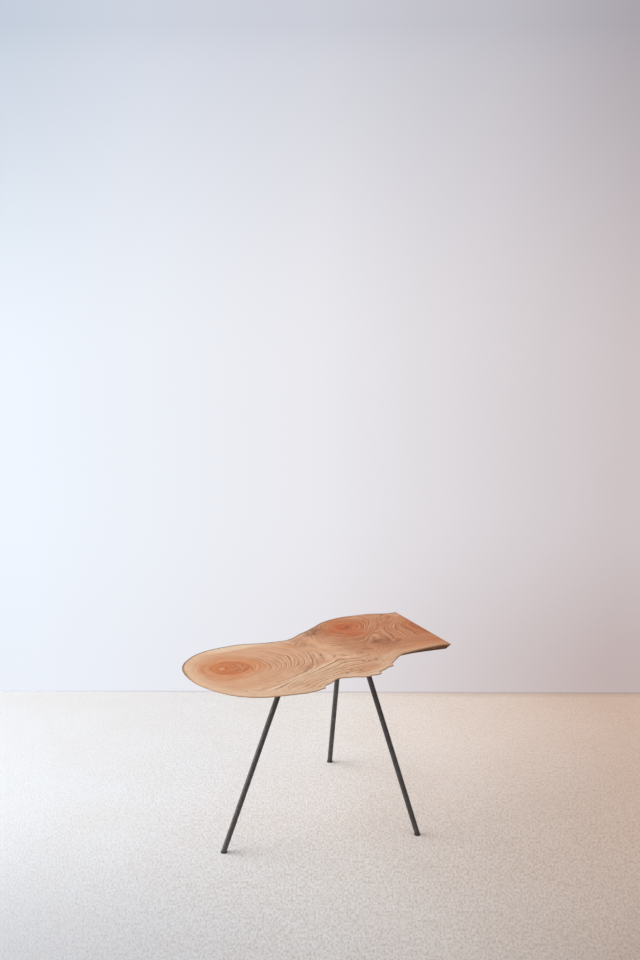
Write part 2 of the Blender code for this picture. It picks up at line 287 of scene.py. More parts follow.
@dataclass(frozen=True)
class SlabWood:
    """Oiled wood cut across the trunk, with its rings, hearts, stains and pale rim."""

    cut: Cut
    wander: float = 0.8
    shiver: float = 0.85
    turning_ring: float = 28.5
    flow_ring: float = 30.6

    def ring_number(self, g: Graph) -> Socket:
        """How many rings out from its heart the wood grew, with small wanderings."""
        place = g.place()
        slow = g.maths("SUBTRACT", g.noise(place, 22, 2, 0.5), 0.5)
        quick = g.maths("SUBTRACT", g.noise(place, 66, 3, 0.6), 0.5)
        calmer = g.span(g.stored("growth"), 30.0, 32.0, self.wander, 0.5 * self.wander)
        grown = g.maths("MULTIPLY_ADD", slow, calmer, g.stored("growth"))
        restless = g.times(g.span(g.stored("growth"), 3.0, 9.0, 3.4, 1.0), self.shiver)
        restless = g.times(g.span(g.stored("growth"), 29.0, 32.0, 1.0, 0.5), restless)
        return g.maths("MULTIPLY_ADD", quick, restless, grown)

    def strength(self, g: Graph, ring: Socket) -> Socket:
        """How bold a whole ring is: every other one is, and all of them in the finer flow."""
        outer = g.maths("GREATER_THAN", ring, self.turning_ring)
        bold = g.maths("MODULO", g.maths("ADD", ring, outer), 2.0)
        flow = g.times(g.maths("GREATER_THAN", ring, self.flow_ring), g.stored("finer"))
        bold = g.maths("MAXIMUM", bold, flow)
        share = g.maths("MULTIPLY_ADD", bold, 0.56, 0.22)
        return g.maths("MULTIPLY_ADD", g.random(ring), 0.22, share)

    def vivid(self, g: Graph) -> Socket:
        """How far the rings stand out more than usual, from 0 to 1."""
        return g.span(g.stored("figure"), 0.9, 1.5)

    def ring_lines(self, g: Graph, number: Socket) -> tuple[Socket, Socket]:
        """Late wood, dark where a ring ends, and early wood, pale where the next one starts."""
        part = g.maths("FRACT", number)
        strength = self.strength(g, g.maths("ROUND", number))
        before = g.span(part, g.maths("MULTIPLY_ADD", self.vivid(g), 0.14, 0.40), 0.88)
        after = g.span(part, 0.02, 0.20, 1.0, 0.0)
        patchy = g.span(g.noise(g.place(), 34, 3, 0.55), 0.34, 0.62, 0.45, 1.15)
        strength = g.times(g.times(strength, patchy), g.stored("figure"))
        late = g.times(g.maths("MAXIMUM", before, after), strength)
        ends = g.maths("MULTIPLY_ADD", self.vivid(g), 0.38, 0.62)
        pale = g.times(g.span(part, 0.08, 0.24), g.span(part, 0.34, ends, 1.0, 0.0))
        start = self.strength(g, g.maths("FLOOR", number))
        early = g.times(g.times(start, patchy), g.stored("figure"))
        return late, g.times(pale, early)

    def streaks(self, g: Graph, number: Socket) -> Socket:
        """Fine fibres drawn out along the rings, from 0 to 1."""
        place = g.place()
        x, y = g.along(place, (16.0, 0.0, 0.0)), g.along(place, (0.0, 16.0, 0.0))
        return g.noise(g.joined(g.times(number, 2.6), x, y), 1.0, 5, 0.62)

    def colour(self, g: Graph, late: Socket, pale: Socket, streaks: Socket) -> Socket:
        """The wood's colour, from pale rim wood to orange heart, with its lines and stains."""
        place = g.place()
        cloud = g.maths("SUBTRACT", g.noise(place, 30, 5, 0.6), 0.5)
        warmth = g.maths("MULTIPLY_ADD", cloud, 0.34, g.stored("warmth"), clamp=True)
        fair = g.ramp(warmth, (
            (0.00, (236, 206, 176)),
            (0.25, (225, 182, 148)),
            (0.50, (216, 160, 121)),
            (0.75, (214, 142, 92)),
            (1.00, (201, 114, 55)),
        ))
        ruddy = g.ramp(warmth, (
            (0.00, (219, 168, 130)),
            (0.25, (208, 147, 106)),
            (0.50, (198, 127, 82)),
            (0.75, (198, 107, 51)),
            (1.00, (192, 82, 18)),
        ))
        wood = g.mix(g.stored("ruddy"), fair, ruddy)
        vivid = self.vivid(g)
        dark = g.dim(wood, g.mix(vivid, (190, 166, 148), (186, 152, 124)))
        light = g.mix(0.62, wood, g.mix(vivid, (246, 216, 184), (255, 232, 198)))
        wood = g.mix(g.times(pale, 0.62), wood, light)
        wood = g.mix(late, wood, dark)
        wood = g.mix(g.span(streaks, 0.46, 0.72, 0.0, 0.50), wood, dark)
        wood = g.mix(g.span(streaks, 0.28, 0.50, 0.34, 0.0), wood, light)
        ragged = g.span(g.noise(g.scaled(place, (1.0, 0.6, 1.0)), 90, 4, 0.6), 0.36, 0.64, 0.42, 1.0)
        stain = g.times(g.stored("stain"), ragged)
        return g.dim(wood, (156, 132, 112), stain)

    def pores(self, g: Graph) -> Socket:
        """Open vessels, seen end on as dark specks: 1 in a pore and 0 between them."""
        return g.span(g.cells(g.place(), 620), 0.10, 0.30, 1.0, 0.0)

    def make(self) -> bpy.types.Material:
        """Build the material."""
        g = Graph("oiled_wood_" + self.cut.value)
        number = self.ring_number(g)
        late, pale = self.ring_lines(g, number)
        pores = self.pores(g)
        speckle = g.noise(g.place(), 420, 3, 0.7)
        streaks = self.streaks(g, number)
        colour = self.colour(g, late, pale, streaks)
        colour = g.mix(g.times(pores, 0.22), colour, (134, 82, 50))
        colour = g.mix(g.span(speckle, 0.35, 0.75, 0.0, 0.12), colour, (164, 106, 68))
        # a grey-brown line along the live edge: darker edge wood, plus painted shade of the rounded
        # edge, wider and stronger along the back
        colour = g.mix(g.times(g.stored("rim"), g.span(speckle, 0.3, 0.6, 0.55, 1.0)),
                       colour, (112, 92, 78))
        rough = g.maths("MULTIPLY_ADD", late, -0.06, g.span(speckle, 0.3, 0.8, 0.48, 0.60))
        relief = g.bump(g.maths("MULTIPLY_ADD", pores, -0.6, late), 0.06 * MM)
        relief = g.bump(g.mix(0.5, speckle, streaks), 0.08 * MM, relief)
        return g.surface(colour, rough, relief, Specular_IOR_Level=0.22)


@dataclass(frozen=True)
class LiveEdge:
    """The tree's own outer face: inner bark hewn away, dark in its hollows, with its rim lightened by
    painted light and painted shade deeper down the undercut.
    """

    def make(self) -> bpy.types.Material:
        """Build the material."""
        g = Graph("live_edge_bark")
        place = g.place()
        strands = g.noise(g.scaled(place, (1.0, 1.0, 0.16)), 260, 5, 0.6, 0.4)
        patches = g.noise(place, 34, 4, 0.6)
        depth = g.stored("under")
        colour = g.ramp(strands, (
            (0.28, (66, 40, 26)),
            (0.46, (112, 72, 46)),
            (0.62, (146, 98, 62)),
            (0.80, (178, 130, 88)),
        ))
        colour = g.mix(g.span(patches, 0.42, 0.66, 0.0, 0.6), colour, (82, 52, 36))
        # the upright rim rows get a light brown wood tone, lightened further as painted light against
        # their shade
        colour = g.mix(g.span(depth, 0.0, 0.06, 1.0, 0.0), colour, (182, 140, 106))
        # painted shade: darker deeper down the undercut, under the slab
        colour = g.mix(g.span(depth, 0.55, 1.0, 0.0, 0.45), colour, (58, 40, 32))
        rough = g.span(strands, 0.3, 0.8, 0.82, 0.62)
        relief = g.bump(g.noise(place, 900, 3, 0.6), 0.15 * MM, g.bump(strands, 0.8 * MM))
        return g.surface(colour, rough, relief, Specular_IOR_Level=0.25)


@dataclass(frozen=True)
class BlackenedSteel:
    """Hot-rolled bar under dark wax: mottled scale, drawn lines and worn spots."""

    name: str
    drawn: tuple[float, float, float]
    base: Colour = (82, 77, 77)
    scale: Colour = (68, 63, 63)
    worn: Colour = (102, 98, 98)

    def make(self) -> bpy.types.Material:
        """Build the material."""
        g = Graph(self.name)
        place = g.place()
        mottle = g.noise(place, 75, 5, 0.6)
        lines = g.noise(g.scaled(place, self.drawn), 500, 3, 0.6)
        spots = g.noise(place, 420, 4, 0.65)
        colour = g.mix(g.span(mottle, 0.38, 0.64), self.base, self.scale)
        colour = g.mix(g.span(lines, 0.52, 0.75, 0.0, 0.25), colour, self.worn)
        colour = g.mix(g.span(spots, 0.64, 0.74, 0.0, 0.45), colour, self.worn)
        rough = g.maths("MULTIPLY_ADD", spots, 0.16, g.span(mottle, 0.3, 0.7, 0.38, 0.46))
        relief = g.bump(lines, 0.02 * MM, g.bump(spots, 0.05 * MM))
        return g.surface(colour, rough, relief, Metallic=0.3, Specular_IOR_Level=0.5)


@dataclass(frozen=True)
class WeldSteel:
    """A weld bead as laid: grey ripples with blue and straw heat tint."""

    def make(self) -> bpy.types.Material:
        """Build the material."""
        g = Graph("weld_bead_steel")
        place = g.place()
        tint = g.noise(place, 240, 3, 0.6)
        soot = g.noise(place, 900, 3, 0.6)
        colour = g.ramp(tint, (
            (0.30, (78, 74, 76)),
            (0.48, (92, 84, 78)),
            (0.60, (104, 84, 66)),
            (0.72, (74, 78, 96)),
        ))
        colour = g.mix(g.span(soot, 0.5, 0.75, 0.0, 0.6), colour, (46, 42, 42))
        rough = g.span(soot, 0.3, 0.7, 0.34, 0.6)
        return g.surface(colour, rough, g.bump(soot, 0.06 * MM), Metallic=0.85)


@dataclass(frozen=True)
class TurnedMetal:
    """A small turned or rolled metal part, with fine marks and a little tarnish."""

    name: str
    bright: Colour
    dull: Colour
    roughness: tuple[float, float]

    def make(self) -> bpy.types.Material:
        """Build the material."""
        g = Graph(self.name)
        place = g.place()
        tarnish = g.noise(place, 380, 4, 0.6)
        marks = g.noise(g.scaled(place, (1.0, 1.0, 6.0)), 700, 3, 0.6)
        colour = g.mix(g.span(tarnish, 0.40, 0.66), self.bright, self.dull)
        rough = g.span(marks, 0.35, 0.7, *self.roughness)
        return g.surface(colour, rough, g.bump(marks, 0.015 * MM), Metallic=0.95)


@dataclass(frozen=True)
class PadRubber:
    """Black moulded rubber with a matt skin and dust on it."""

    def make(self) -> bpy.types.Material:
        """Build the material."""
        g = Graph("moulded_rubber")
        place = g.place()
        grain = g.noise(place, 2600, 3, 0.6)
        dust = g.noise(place, 260, 4, 0.6)
        colour = g.mix(g.span(dust, 0.5, 0.8, 0.0, 0.5), (48, 46, 46), (78, 75, 73))
        rough = g.span(grain, 0.3, 0.7, 0.66, 0.86)
        return g.surface(colour, rough, g.bump(grain, 0.05 * MM))


def turned(radius: float, height: float, sides: int, centre: Spot = (0.0, 0.0)) -> Ring:
    """Points of a level circle, as rows of x, y and z."""
    turns = np.arange(sides) * 2 * math.pi / sides
    return np.stack([
        centre[0] + radius * np.cos(turns),
        centre[1] + radius * np.sin(turns),
        np.full(sides, height),
    ], axis=1)


def lathe(profile: Sequence[Spot], sides: int, centre: Spot) -> list[Ring]:
    """Level circles along a profile of radius and height."""
    return [turned(radius, height, sides, centre) for radius, height in profile]


def quarter(steps: int) -> list[Spot]:
    """Sine and cosine at even steps of a quarter turn, with both its ends."""
    turns = [math.pi / 2 * k / steps for k in range(steps + 1)]
    return [(math.sin(turn), math.cos(turn)) for turn in turns]


@dataclass
class Shell:
    """A mesh in the making, out of rings of points."""

    name: str

    def __post_init__(self) -> None:
        """Start with an empty mesh."""
        self.bm = bmesh.new()

    def row(self, ring: Ring) -> list[bmesh.types.BMVert]:
        """Add a ring's points."""
        return [self.bm.verts.new(point) for point in ring]

    def band(self, first: list, second: list, slot: int = 0, closed: bool = True) -> None:
        """Join two rows of points with quads, which face outward if first is the lower one."""
        count = len(first)
        for i in range(count if closed else count - 1):
            j = (i + 1) % count
            self.bm.faces.new((first[i], first[j], second[j], second[i])).material_index = slot

    def skin(self, rings: Sequence[Ring], around: bool = False) -> None:
        """Skin rings in order.

        Args:
            rings: Rings of as many points each.
            around: Whether the last ring is joined to the first one, or both get a cap.
        """
        rows = [self.row(ring) for ring in rings]
        for first, second in zip(rows, rows[1:]):
            self.band(first, second)
        if around:
            self.band(rows[-1], rows[0])
        else:
            self.bm.faces.new(list(reversed(rows[0])))
            self.bm.faces.new(rows[-1])

    def flat_fill(self, rim: list, holes: Sequence[list], step: float, slot: int = 0) -> None:
        """Fill a level outline with small triangles, round its holes.

        Args:
            rim: The outline's points in the mesh.
            holes: The points of each hole's rim.
            step: How far apart the points inside lie.
            slot: The faces' material slot.
        """
        points = []
        edges = []
        for border in (rim, *holes):
            start, count = len(points), len(border)
            points += [v.co.xy for v in border]
            edges += [(start + i, start + (i + 1) % count) for i in range(count)]
        known = [v for border in (rim, *holes) for v in border]
        outline, *rings = (np.array([tuple(v.co.xy) for v in row]) for row in (rim, *holes))
        inner = grid_inside(outline, step)
        for ring in rings:
            gap = np.linalg.norm(inner - ring.mean(axis=0), axis=1)
            inner = inner[gap > np.ptp(ring[:, 0]) / 2 + step * 0.4]
        points += [Vector(p) for p in inner.tolist()]
        corners, _, faces, sources, *_ = delaunay_2d_cdt(points, edges, [], 0, 1e-7)
        verts = []
        for place, source in zip(corners, sources):
            old = source and source[0] < len(known)
            verts.append(known[source[0]] if old else self.bm.verts.new((*place, rim[0].co.z)))
        middles = np.array([
            [sum(corners[i][axis] for i in face) / len(face) for axis in (0, 1)] for face in faces])
        keep = inside(outline, middles)
        for ring in rings:
            gap = np.linalg.norm(middles - ring.mean(axis=0), axis=1)
            keep &= gap > np.ptp(ring[:, 0]) / 2 * 0.98
        for face, kept in zip(faces, keep):
            if kept:
                self.bm.faces.new([verts[i] for i in face]).material_index = slot

    def finish(self, finishes: Sequence[bpy.types.Material],
               crease: float = 35.0) -> bpy.types.Object:
        """Turn the mesh into an object with smooth shading between its creases.

        Args:
            finishes: The materials, in the order of the faces' slots.
            crease: The sharpest bend that is shaded smooth, in degrees.

        Returns:
            The new object.
        """
        bmesh.ops.recalc_face_normals(self.bm, faces=self.bm.faces)
        mesh = bpy.data.meshes.new(self.name)
        self.bm.to_mesh(mesh)
        self.bm.free()
        for finish in finishes:
            mesh.materials.append(finish)
        mesh.shade_smooth()
        mesh.set_sharp_from_angle(angle=math.radians(crease))
        piece = bpy.data.objects.new(self.name, mesh)
        bpy.context.collection.objects.link(piece)
        return piece


def seat(piece: bpy.types.Object, node: str) -> None:
    """Let a piece stand for a CAD node and ride on the table's body.

    Args:
        piece: The piece.
        node: The CAD node that it replaces.
    """
    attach(piece, BODY)
    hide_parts(node)
    LOG.info("%s stands for %s, %d faces", piece.name, node, len(piece.data.polygons))


@dataclass(frozen=True)
class Patch:
    """A soft oval of the slab's face, in metres, where the wood differs from its rings."""

    x: float
    y: float
    length: float
    width: float
    turn: float
    depth: float

    def cover(self, x: np.ndarray, y: np.ndarray) -> np.ndarray:
        """How much the patch shows at each point, up to its depth."""
        turn = math.radians(self.turn)
        along = (x - self.x) * math.cos(turn) + (y - self.y) * math.sin(turn)
        across = (y - self.y) * math.cos(turn) - (x - self.x) * math.sin(turn)
        gap = np.hypot(along / self.length * 2, across / self.width * 2)
        return self.depth * (1 - smooth_step(0.35, 1.25, gap))


def patches(*rows: tuple[float, ...]) -> tuple[Patch, ...]:
    """Patches from rows of x, y, length and width in millimetres, turn and depth."""
    return tuple(Patch(*(size * MM for size in row[:4]), *row[4:]) for row in rows)


def cover(spots: Sequence[Patch], x: np.ndarray, y: np.ndarray) -> np.ndarray:
    """How much patches show together at each point."""
    return sum(spot.cover(x, y) for spot in spots)


PLAN_ORIGIN = (-352.0, -188.0)
PITHS = {"left": (-0.247, 0.076), "right": (0.168, 0.115)}
FACE, BARK, UNDER, END = range(4)  # the slab's finishes, by its faces' slots


# Lines of even growth on the face: each row is a ring number, then x and y by turns of the
# points that the ring runs through, in millimetres from the plan's origin.
RING_LINES = (
    (0, 105, 264),
    (4, 142, 262, 138, 245, 116, 240),
    (7.5, 80, 280, 77, 258, 92, 228, 120, 213, 154, 219, 171, 249, 153, 284, 112, 297),
    (11, 193, 258, 195, 240, 191, 226, 180, 211, 167, 200, 150, 193, 126, 190, 88, 196, 58, 228, 56, 283,
     84, 315, 130, 322, 175, 300),
    (15, 214, 240, 211, 218, 203, 200, 188, 189, 150, 178, 105, 176),
    (17, 229, 228, 226, 208, 216, 191, 198, 177),
    (19, 242, 240, 240, 215, 234, 200, 222, 186, 202, 172, 150, 158, 90, 160, 48, 182, 26, 225, 32, 290,
     65, 338, 120, 353, 185, 340, 228, 295),
    (21, 257, 250, 254, 215, 247, 198, 235, 184, 212, 170),
    (23, 279, 252, 276, 228, 270, 212, 262, 198, 252, 184, 236, 171, 205, 159, 150, 147),
    (25, 297, 240, 295, 222, 290, 208, 280, 194, 268, 180, 250, 168, 225, 158, 190, 147),
    (27, 309, 255, 307, 225, 303, 206, 296, 192, 287, 178, 275, 168, 255, 157, 230, 149, 170, 134, 110,
     133, 62, 156, 32, 186),
    (30, 328, 300, 338, 262, 335, 235, 326, 210, 316, 188, 304, 168, 290, 150, 268, 138, 222, 126, 170,
     119, 115, 120, 80, 138, 45, 165, 9, 225, 12, 290, 50, 352, 120, 384, 190, 381, 280, 340),
    (31, 356, 214, 353, 196, 347, 176, 338, 162, 324, 151, 308, 145),
    (31.4, 345, 141, 310, 131, 280, 124, 240, 116, 200, 108, 170, 101, 125, 94, 88, 106),
    (31.9, 85, 95, 115, 86, 150, 90, 168, 95, 190, 100, 218, 106, 240, 111, 262, 114, 280, 119, 300, 124,
     320, 129, 350, 136, 363, 138, 374, 133, 387, 125, 402, 118, 420, 118, 440, 121, 465, 125, 490, 135),
    (34, 158, 71, 166, 80, 177, 84, 188, 88, 200, 93, 215, 97, 232, 100, 250, 101, 270, 103, 300, 107,
     325, 111, 345, 113, 363, 117, 378, 112, 392, 104, 410, 101, 430, 105, 455, 109, 480, 116, 512, 130),
    (36, 172, 74, 188, 78, 200, 77, 207, 79, 212, 83, 225, 88, 242, 90, 270, 92, 300, 91, 340, 89, 370,
     88, 400, 82, 430, 84, 455, 92, 480, 103, 510, 114, 590, 106),
    (38, 170, 66, 190, 67, 204, 69, 212, 74, 225, 77, 250, 79, 283, 79, 322, 78, 385, 68, 430, 70, 455,
     79, 480, 91, 515, 102, 600, 92, 645, 84),
    (40, 158, 55, 178, 54, 200, 56, 213, 61, 225, 65, 245, 67, 268, 70, 345, 60, 400, 54, 430, 57, 455,
     67, 485, 82, 515, 88, 600, 74, 648, 64),
    (42, 205, 44, 218, 48, 240, 56, 262, 58, 290, 54, 340, 45, 425, 42, 490, 70),
    (31.5, 362, 176, 376, 180, 392, 172, 404, 150, 368, 205, 372, 235, 385, 200),
    (31.4, 350, 252, 366, 276, 386, 296, 400, 316, 388, 262),
    (31, 343, 268, 352, 287, 370, 302, 384, 322),
    (19, 520, 303),
    (23, 490, 318, 492, 292, 505, 279, 522, 276, 540, 281, 552, 296, 551, 318, 520, 336),
    (25, 472, 315, 477, 286, 494, 267, 520, 262, 546, 266, 563, 283, 570, 310, 545, 345, 500, 350),
    (27, 452, 320, 447, 295, 451, 268, 470, 251, 500, 243, 530, 246, 547, 256, 560, 268, 575, 281, 590,
     296, 600, 315, 594, 352),
    (29, 434, 322, 430, 285, 438, 250, 470, 231, 520, 229, 562, 250, 580, 265, 600, 284, 620, 304, 634,
     330),
    (30.6, 414, 312, 408, 275, 424, 232, 460, 210, 502, 205, 520, 215, 540, 226, 553, 234, 559, 222, 558,
     204, 550, 170, 548, 150),
    (31.4, 405, 210, 445, 182, 480, 170),
    (32, 500, 166, 518, 192, 534, 207, 540, 190, 530, 148),
    (23, 668, 228, 664, 190, 662, 166),
    (25, 632, 150, 634, 172, 635, 200, 638, 221, 647, 235, 664, 243, 682, 249),
    (27, 604, 158, 608, 180, 612, 200, 618, 216, 628, 233, 645, 247, 684, 262),
    (28.5, 584, 160, 589, 185, 594, 205, 600, 226, 612, 246, 640, 262),
    (30, 566, 160, 573, 182, 579, 200, 585, 220, 594, 238, 604, 252, 618, 263, 642, 268, 690, 274),
    (30.4, 592, 258, 604, 270, 618, 280),
    (31.6, 625, 298, 655, 306, 690, 312, 560, 140, 600, 132, 650, 114),
)


@dataclass(frozen=True)
class Growth:
    """The ring number at any point of the face: a thin plate bent through the ring lines."""

    lines: tuple[tuple[float, ...], ...] = RING_LINES
    give: float = 0.003
    unit: float = 0.1

    def bend(self, gap: np.ndarray) -> np.ndarray:
        """How a thin plate bends at a distance from a point that holds it."""
        return gap ** 2 * np.log(np.maximum(gap, 1e-9))

    def number(self, x: np.ndarray, y: np.ndarray) -> np.ndarray:
        """The ring number at each point.

        Args:
            x: The points' x.
            y: The points' y.

        Returns:
            The numbers, where whole ones lie at the rings' dark ends.
        """
        held = np.concatenate([np.reshape(line[1:], (-1, 2)) for line in self.lines])
        held = (held + np.array(PLAN_ORIGIN)) * MM / self.unit
        rings = np.concatenate([np.full(len(line) // 2, line[0], float) for line in self.lines])
        count = len(held)
        gaps = np.linalg.norm(held[:, None] - held[None], axis=-1)
        plate = np.zeros((count + 3, count + 3))
        plate[:count, :count] = self.bend(gaps) + np.eye(count) * self.give
        plate[:count, count] = plate[count, :count] = 1
        plate[:count, count + 1:] = held
        plate[count + 1:, :count] = held.T
        pull = np.linalg.solve(plate, np.concatenate([rings, np.zeros(3)]))
        x, y = x / self.unit, y / self.unit
        total = pull[count] + pull[count + 1] * x + pull[count + 2] * y
        for (px, py), share in zip(held, pull):
            total = total + share * self.bend(np.hypot(x - px, y - py))
        return total


DARK_PATCHES = patches(  # stains, dark lines and knots
    (75, 144, 96, 34, 24, 0.8), (118, 102, 50, 60, 0, 0.1), (-232, 142, 70, 40, 0, 0.06),
    (90, 120, 70, 60, 40, 0.28), (-79, -43, 85, 20, 34, 0.52), (176, -26, 70, 85, 0, 0.52),
    (160, -12, 30, 18, 45, 0.22), (213, -37, 34, 20, 30, 0.45), (53, -92, 16, 7, 60, 1.8),
    (85, -101, 16, 7, 50, 2.2), (66, -98, 40, 12, 0, 0.3), (-27, -127, 14, 9, 0, 0.9),
    (-7, -117, 14, 9, 20, 0.55), (8, -135, 14, 8, 20, 0.45), (-18, -99, 26, 6, 0, 0.45),
    (12, -72, 14, 6, 50, 0.8), (65, -100, 12, 7, 60, 0.5), (90, -64, 20, 6, 60, 0.55),
    (93, -117, 18, 6, 60, 0.5), (85, -46, 14, 9, 45, 0.4), (44, -38, 14, 10, -40, 0.5),
    (76, 23, 18, 8, -30, 0.45), (58, 36, 12, 8, 0, 0.4), (-19, 40, 14, 6, 62, 0.55),
    (-15, -16, 22, 6, 62, 0.5), (-148, -130, 22, 6, 14, 0.4), (-195, -123, 10, 7, 50, 0.4),
    (3, 90, 60, 24, 48, 0.3), (262, 80, 50, 14, 0, 0.3), (168, 116, 26, 12, 22, 0.95),
    (113, -33, 24, 24, 0, 0.4), (17, -22, 24, 7, 45, 0.7), (34, -27, 32, 6, -50, 0.6),
    (-30, 12, 50, 5, 64, 0.55), (-20, 15, 44, 5, 63, 0.55), (-9, -6, 46, 5, 66, 0.6),
    (-2, 9, 30, 5, 60, 0.5), (4, 81, 36, 6, 36, 0.5), (-8, 100, 34, 5, 34, 0.45),
    (50, 110, 50, 5, 58, 0.5), (64, 118, 44, 5, 60, 0.45), (110, 6, 130, 110, 20, 0.26),
    (318, 2, 34, 130, -6, 0.5), (198, -8, 60, 14, 82, 0.35), (4, 112, 100, 50, 30, 0.16),
    (284, -5, 100, 10, 84, 0.55), (-236, 73, 16, 4, 43, 0.6), (-211, 71, 15, 5, 83, 0.8),
    (-200, 60, 22, 5, 62, 0.7), (-190, 33, 24, 5, 68, 0.8), (-211, 19, 26, 5, 2, 0.6),
    (-222, 55, 18, 4, 20, 0.6), (-223, 47, 16, 4, 30, 0.6), (-128, -152, 16, 9, 30, 0.45),
    (30, -133, 90, 18, 0, 0.16), (300, 145, 110, 35, -20, 0.26),
)

PALE_PATCHES = patches(  # pale rim wood and bright lines
    (-150, 172, 150, 40, -8, 0.3), (10, -10, 65, 110, 0, 0.05), (188, 17, 46, 14, 76, 0.4),
    (8, -10, 30, 7, 38, 0.2), (40, -14, 44, 7, -46, 0.34), (-14, 8, 56, 6, 65, 0.3),
    (-36, 8, 50, 5, 64, 0.26), (-3, 98, 40, 7, 36, 0.3), (56, 112, 60, 5, 60, 0.26),
    (-162, 47, 50, 50, 0, 0.1), (-249, 75, 16, 15, 0, 0.56), (-205, 72, 26, 5, 88, 0.4),
    (-199, 51, 20, 5, 52, 0.3), (-196, 34, 16, 5, 58, 0.35), (-214, 27, 26, 5, 3, 0.3),
    (-221, 51, 16, 4, 23, 0.3), (-215, 14, 26, 5, 0, 0.22), (-109, -69, 220, 8, 13, 0.3),
    (-214, -94, 80, 8, 6, 0.26), (-26, -50, 60, 6, 12, 0.26), (-178, -126, 60, 7, 3, 0.3),
    (-140, -101, 26, 7, 45, 0.26), (32, 36, 9, 16, -15, 0.2), (39, -48, 11, 20, -15, 0.22),
    (51, -37, 12, 12, 0, 0.14), (68, 17, 26, 9, -40, 0.16), (63, -81, 28, 8, 50, 0.26),
    (338, 112, 50, 50, 0, 0.06), (250, 155, 120, 50, -20, 0.24), (335, 118, 40, 50, 0, 0.42),
    (215, -110, 120, 34, 0, 0.18), (118, -106, 110, 30, 20, 0.12), (205, -106, 230, 36, -3, 0.1),
    (28, -133, 100, 36, 0, 0.03), (-240, -90, 160, 60, -25, 0.16), (-100, -80, 240, 70, 6, 0.22),
    (-22, -98, 60, 30, 0, 0.12),
)

WARM_PATCHES = patches(  # redder wood
    (118, 102, 80, 60, 0, 0.1), (148, 57, 70, 50, 0, 0.14), (268, -88, 120, 60, -5, 0.14),
    (205, -108, 120, 40, -3, 0.17), (-22, -98, 60, 30, 0, 0.14), (240, -88, 160, 60, 0, 0.14),
    (30, -135, 110, 40, 0, 0.16), (338, -10, 22, 260, 0, 0.3), (-155, 48, 60, 80, 0, 0.18),
    (150, 55, 120, 40, 0, 0.16), (-2, 110, 120, 60, 20, 0.14),
)

FIGURED_PATCHES = patches(  # bolder rings, or fainter ones below zero
    (-110, 10, 190, 160, 10, 0.5), (-110, 70, 150, 100, 0, 0.16), (-60, -92, 390, 150, 4, 0.66),
    (-205, 60, 80, 70, -30, 0.1), (-176, 48, 28, 60, 150, -0.3), (-79, -43, 90, 18, 34, -0.5),
    (-10, 4, 40, 100, -25, -0.45), (-140, -110, 190, 80, 12, 0.6), (-40, -85, 200, 80, 4, 0.4),
    (10, -20, 120, 140, 0, 0.34), (260, 10, 120, 230, 8, 0.42), (160, 70, 160, 110, 30, 0.4),
    (168, 118, 90, 90, 0, -0.22), (28, -133, 100, 36, 0, 0.4), (240, 66, 80, 20, 40, -0.6),
    (224, 92, 80, 26, 45, 0.36), (150, -105, 200, 50, 24, 0.12), (94, -20, 120, 110, 0, -0.3),
    (262, 80, 70, 44, 40, -0.3), (-22, 20, 60, 130, -20, 0.16), (316, 8, 34, 150, -5, -0.85),
    (112, 130, 60, 100, 0, -0.16),
)


# Points of torn wood that stand out of the edge: each row is a place's x and y, how far its
# tip is drawn out in x and y, and how far round it the edge follows, in millimetres.
SPLINTERS = (
    (-122.5, -170.2, 5.5, -1.0, 9),
    (-112.0, -161.0, -1.5, 2.0, 6),
    (38.5, -181.5, 5.0, 0.0, 7),
    (40.0, -172.0, -3.0, 1.0, 6),
    (91.0, -163.0, 4.5, -2.0, 8),
    (101.0, -151.0, 1.0, 3.0, 6),
)


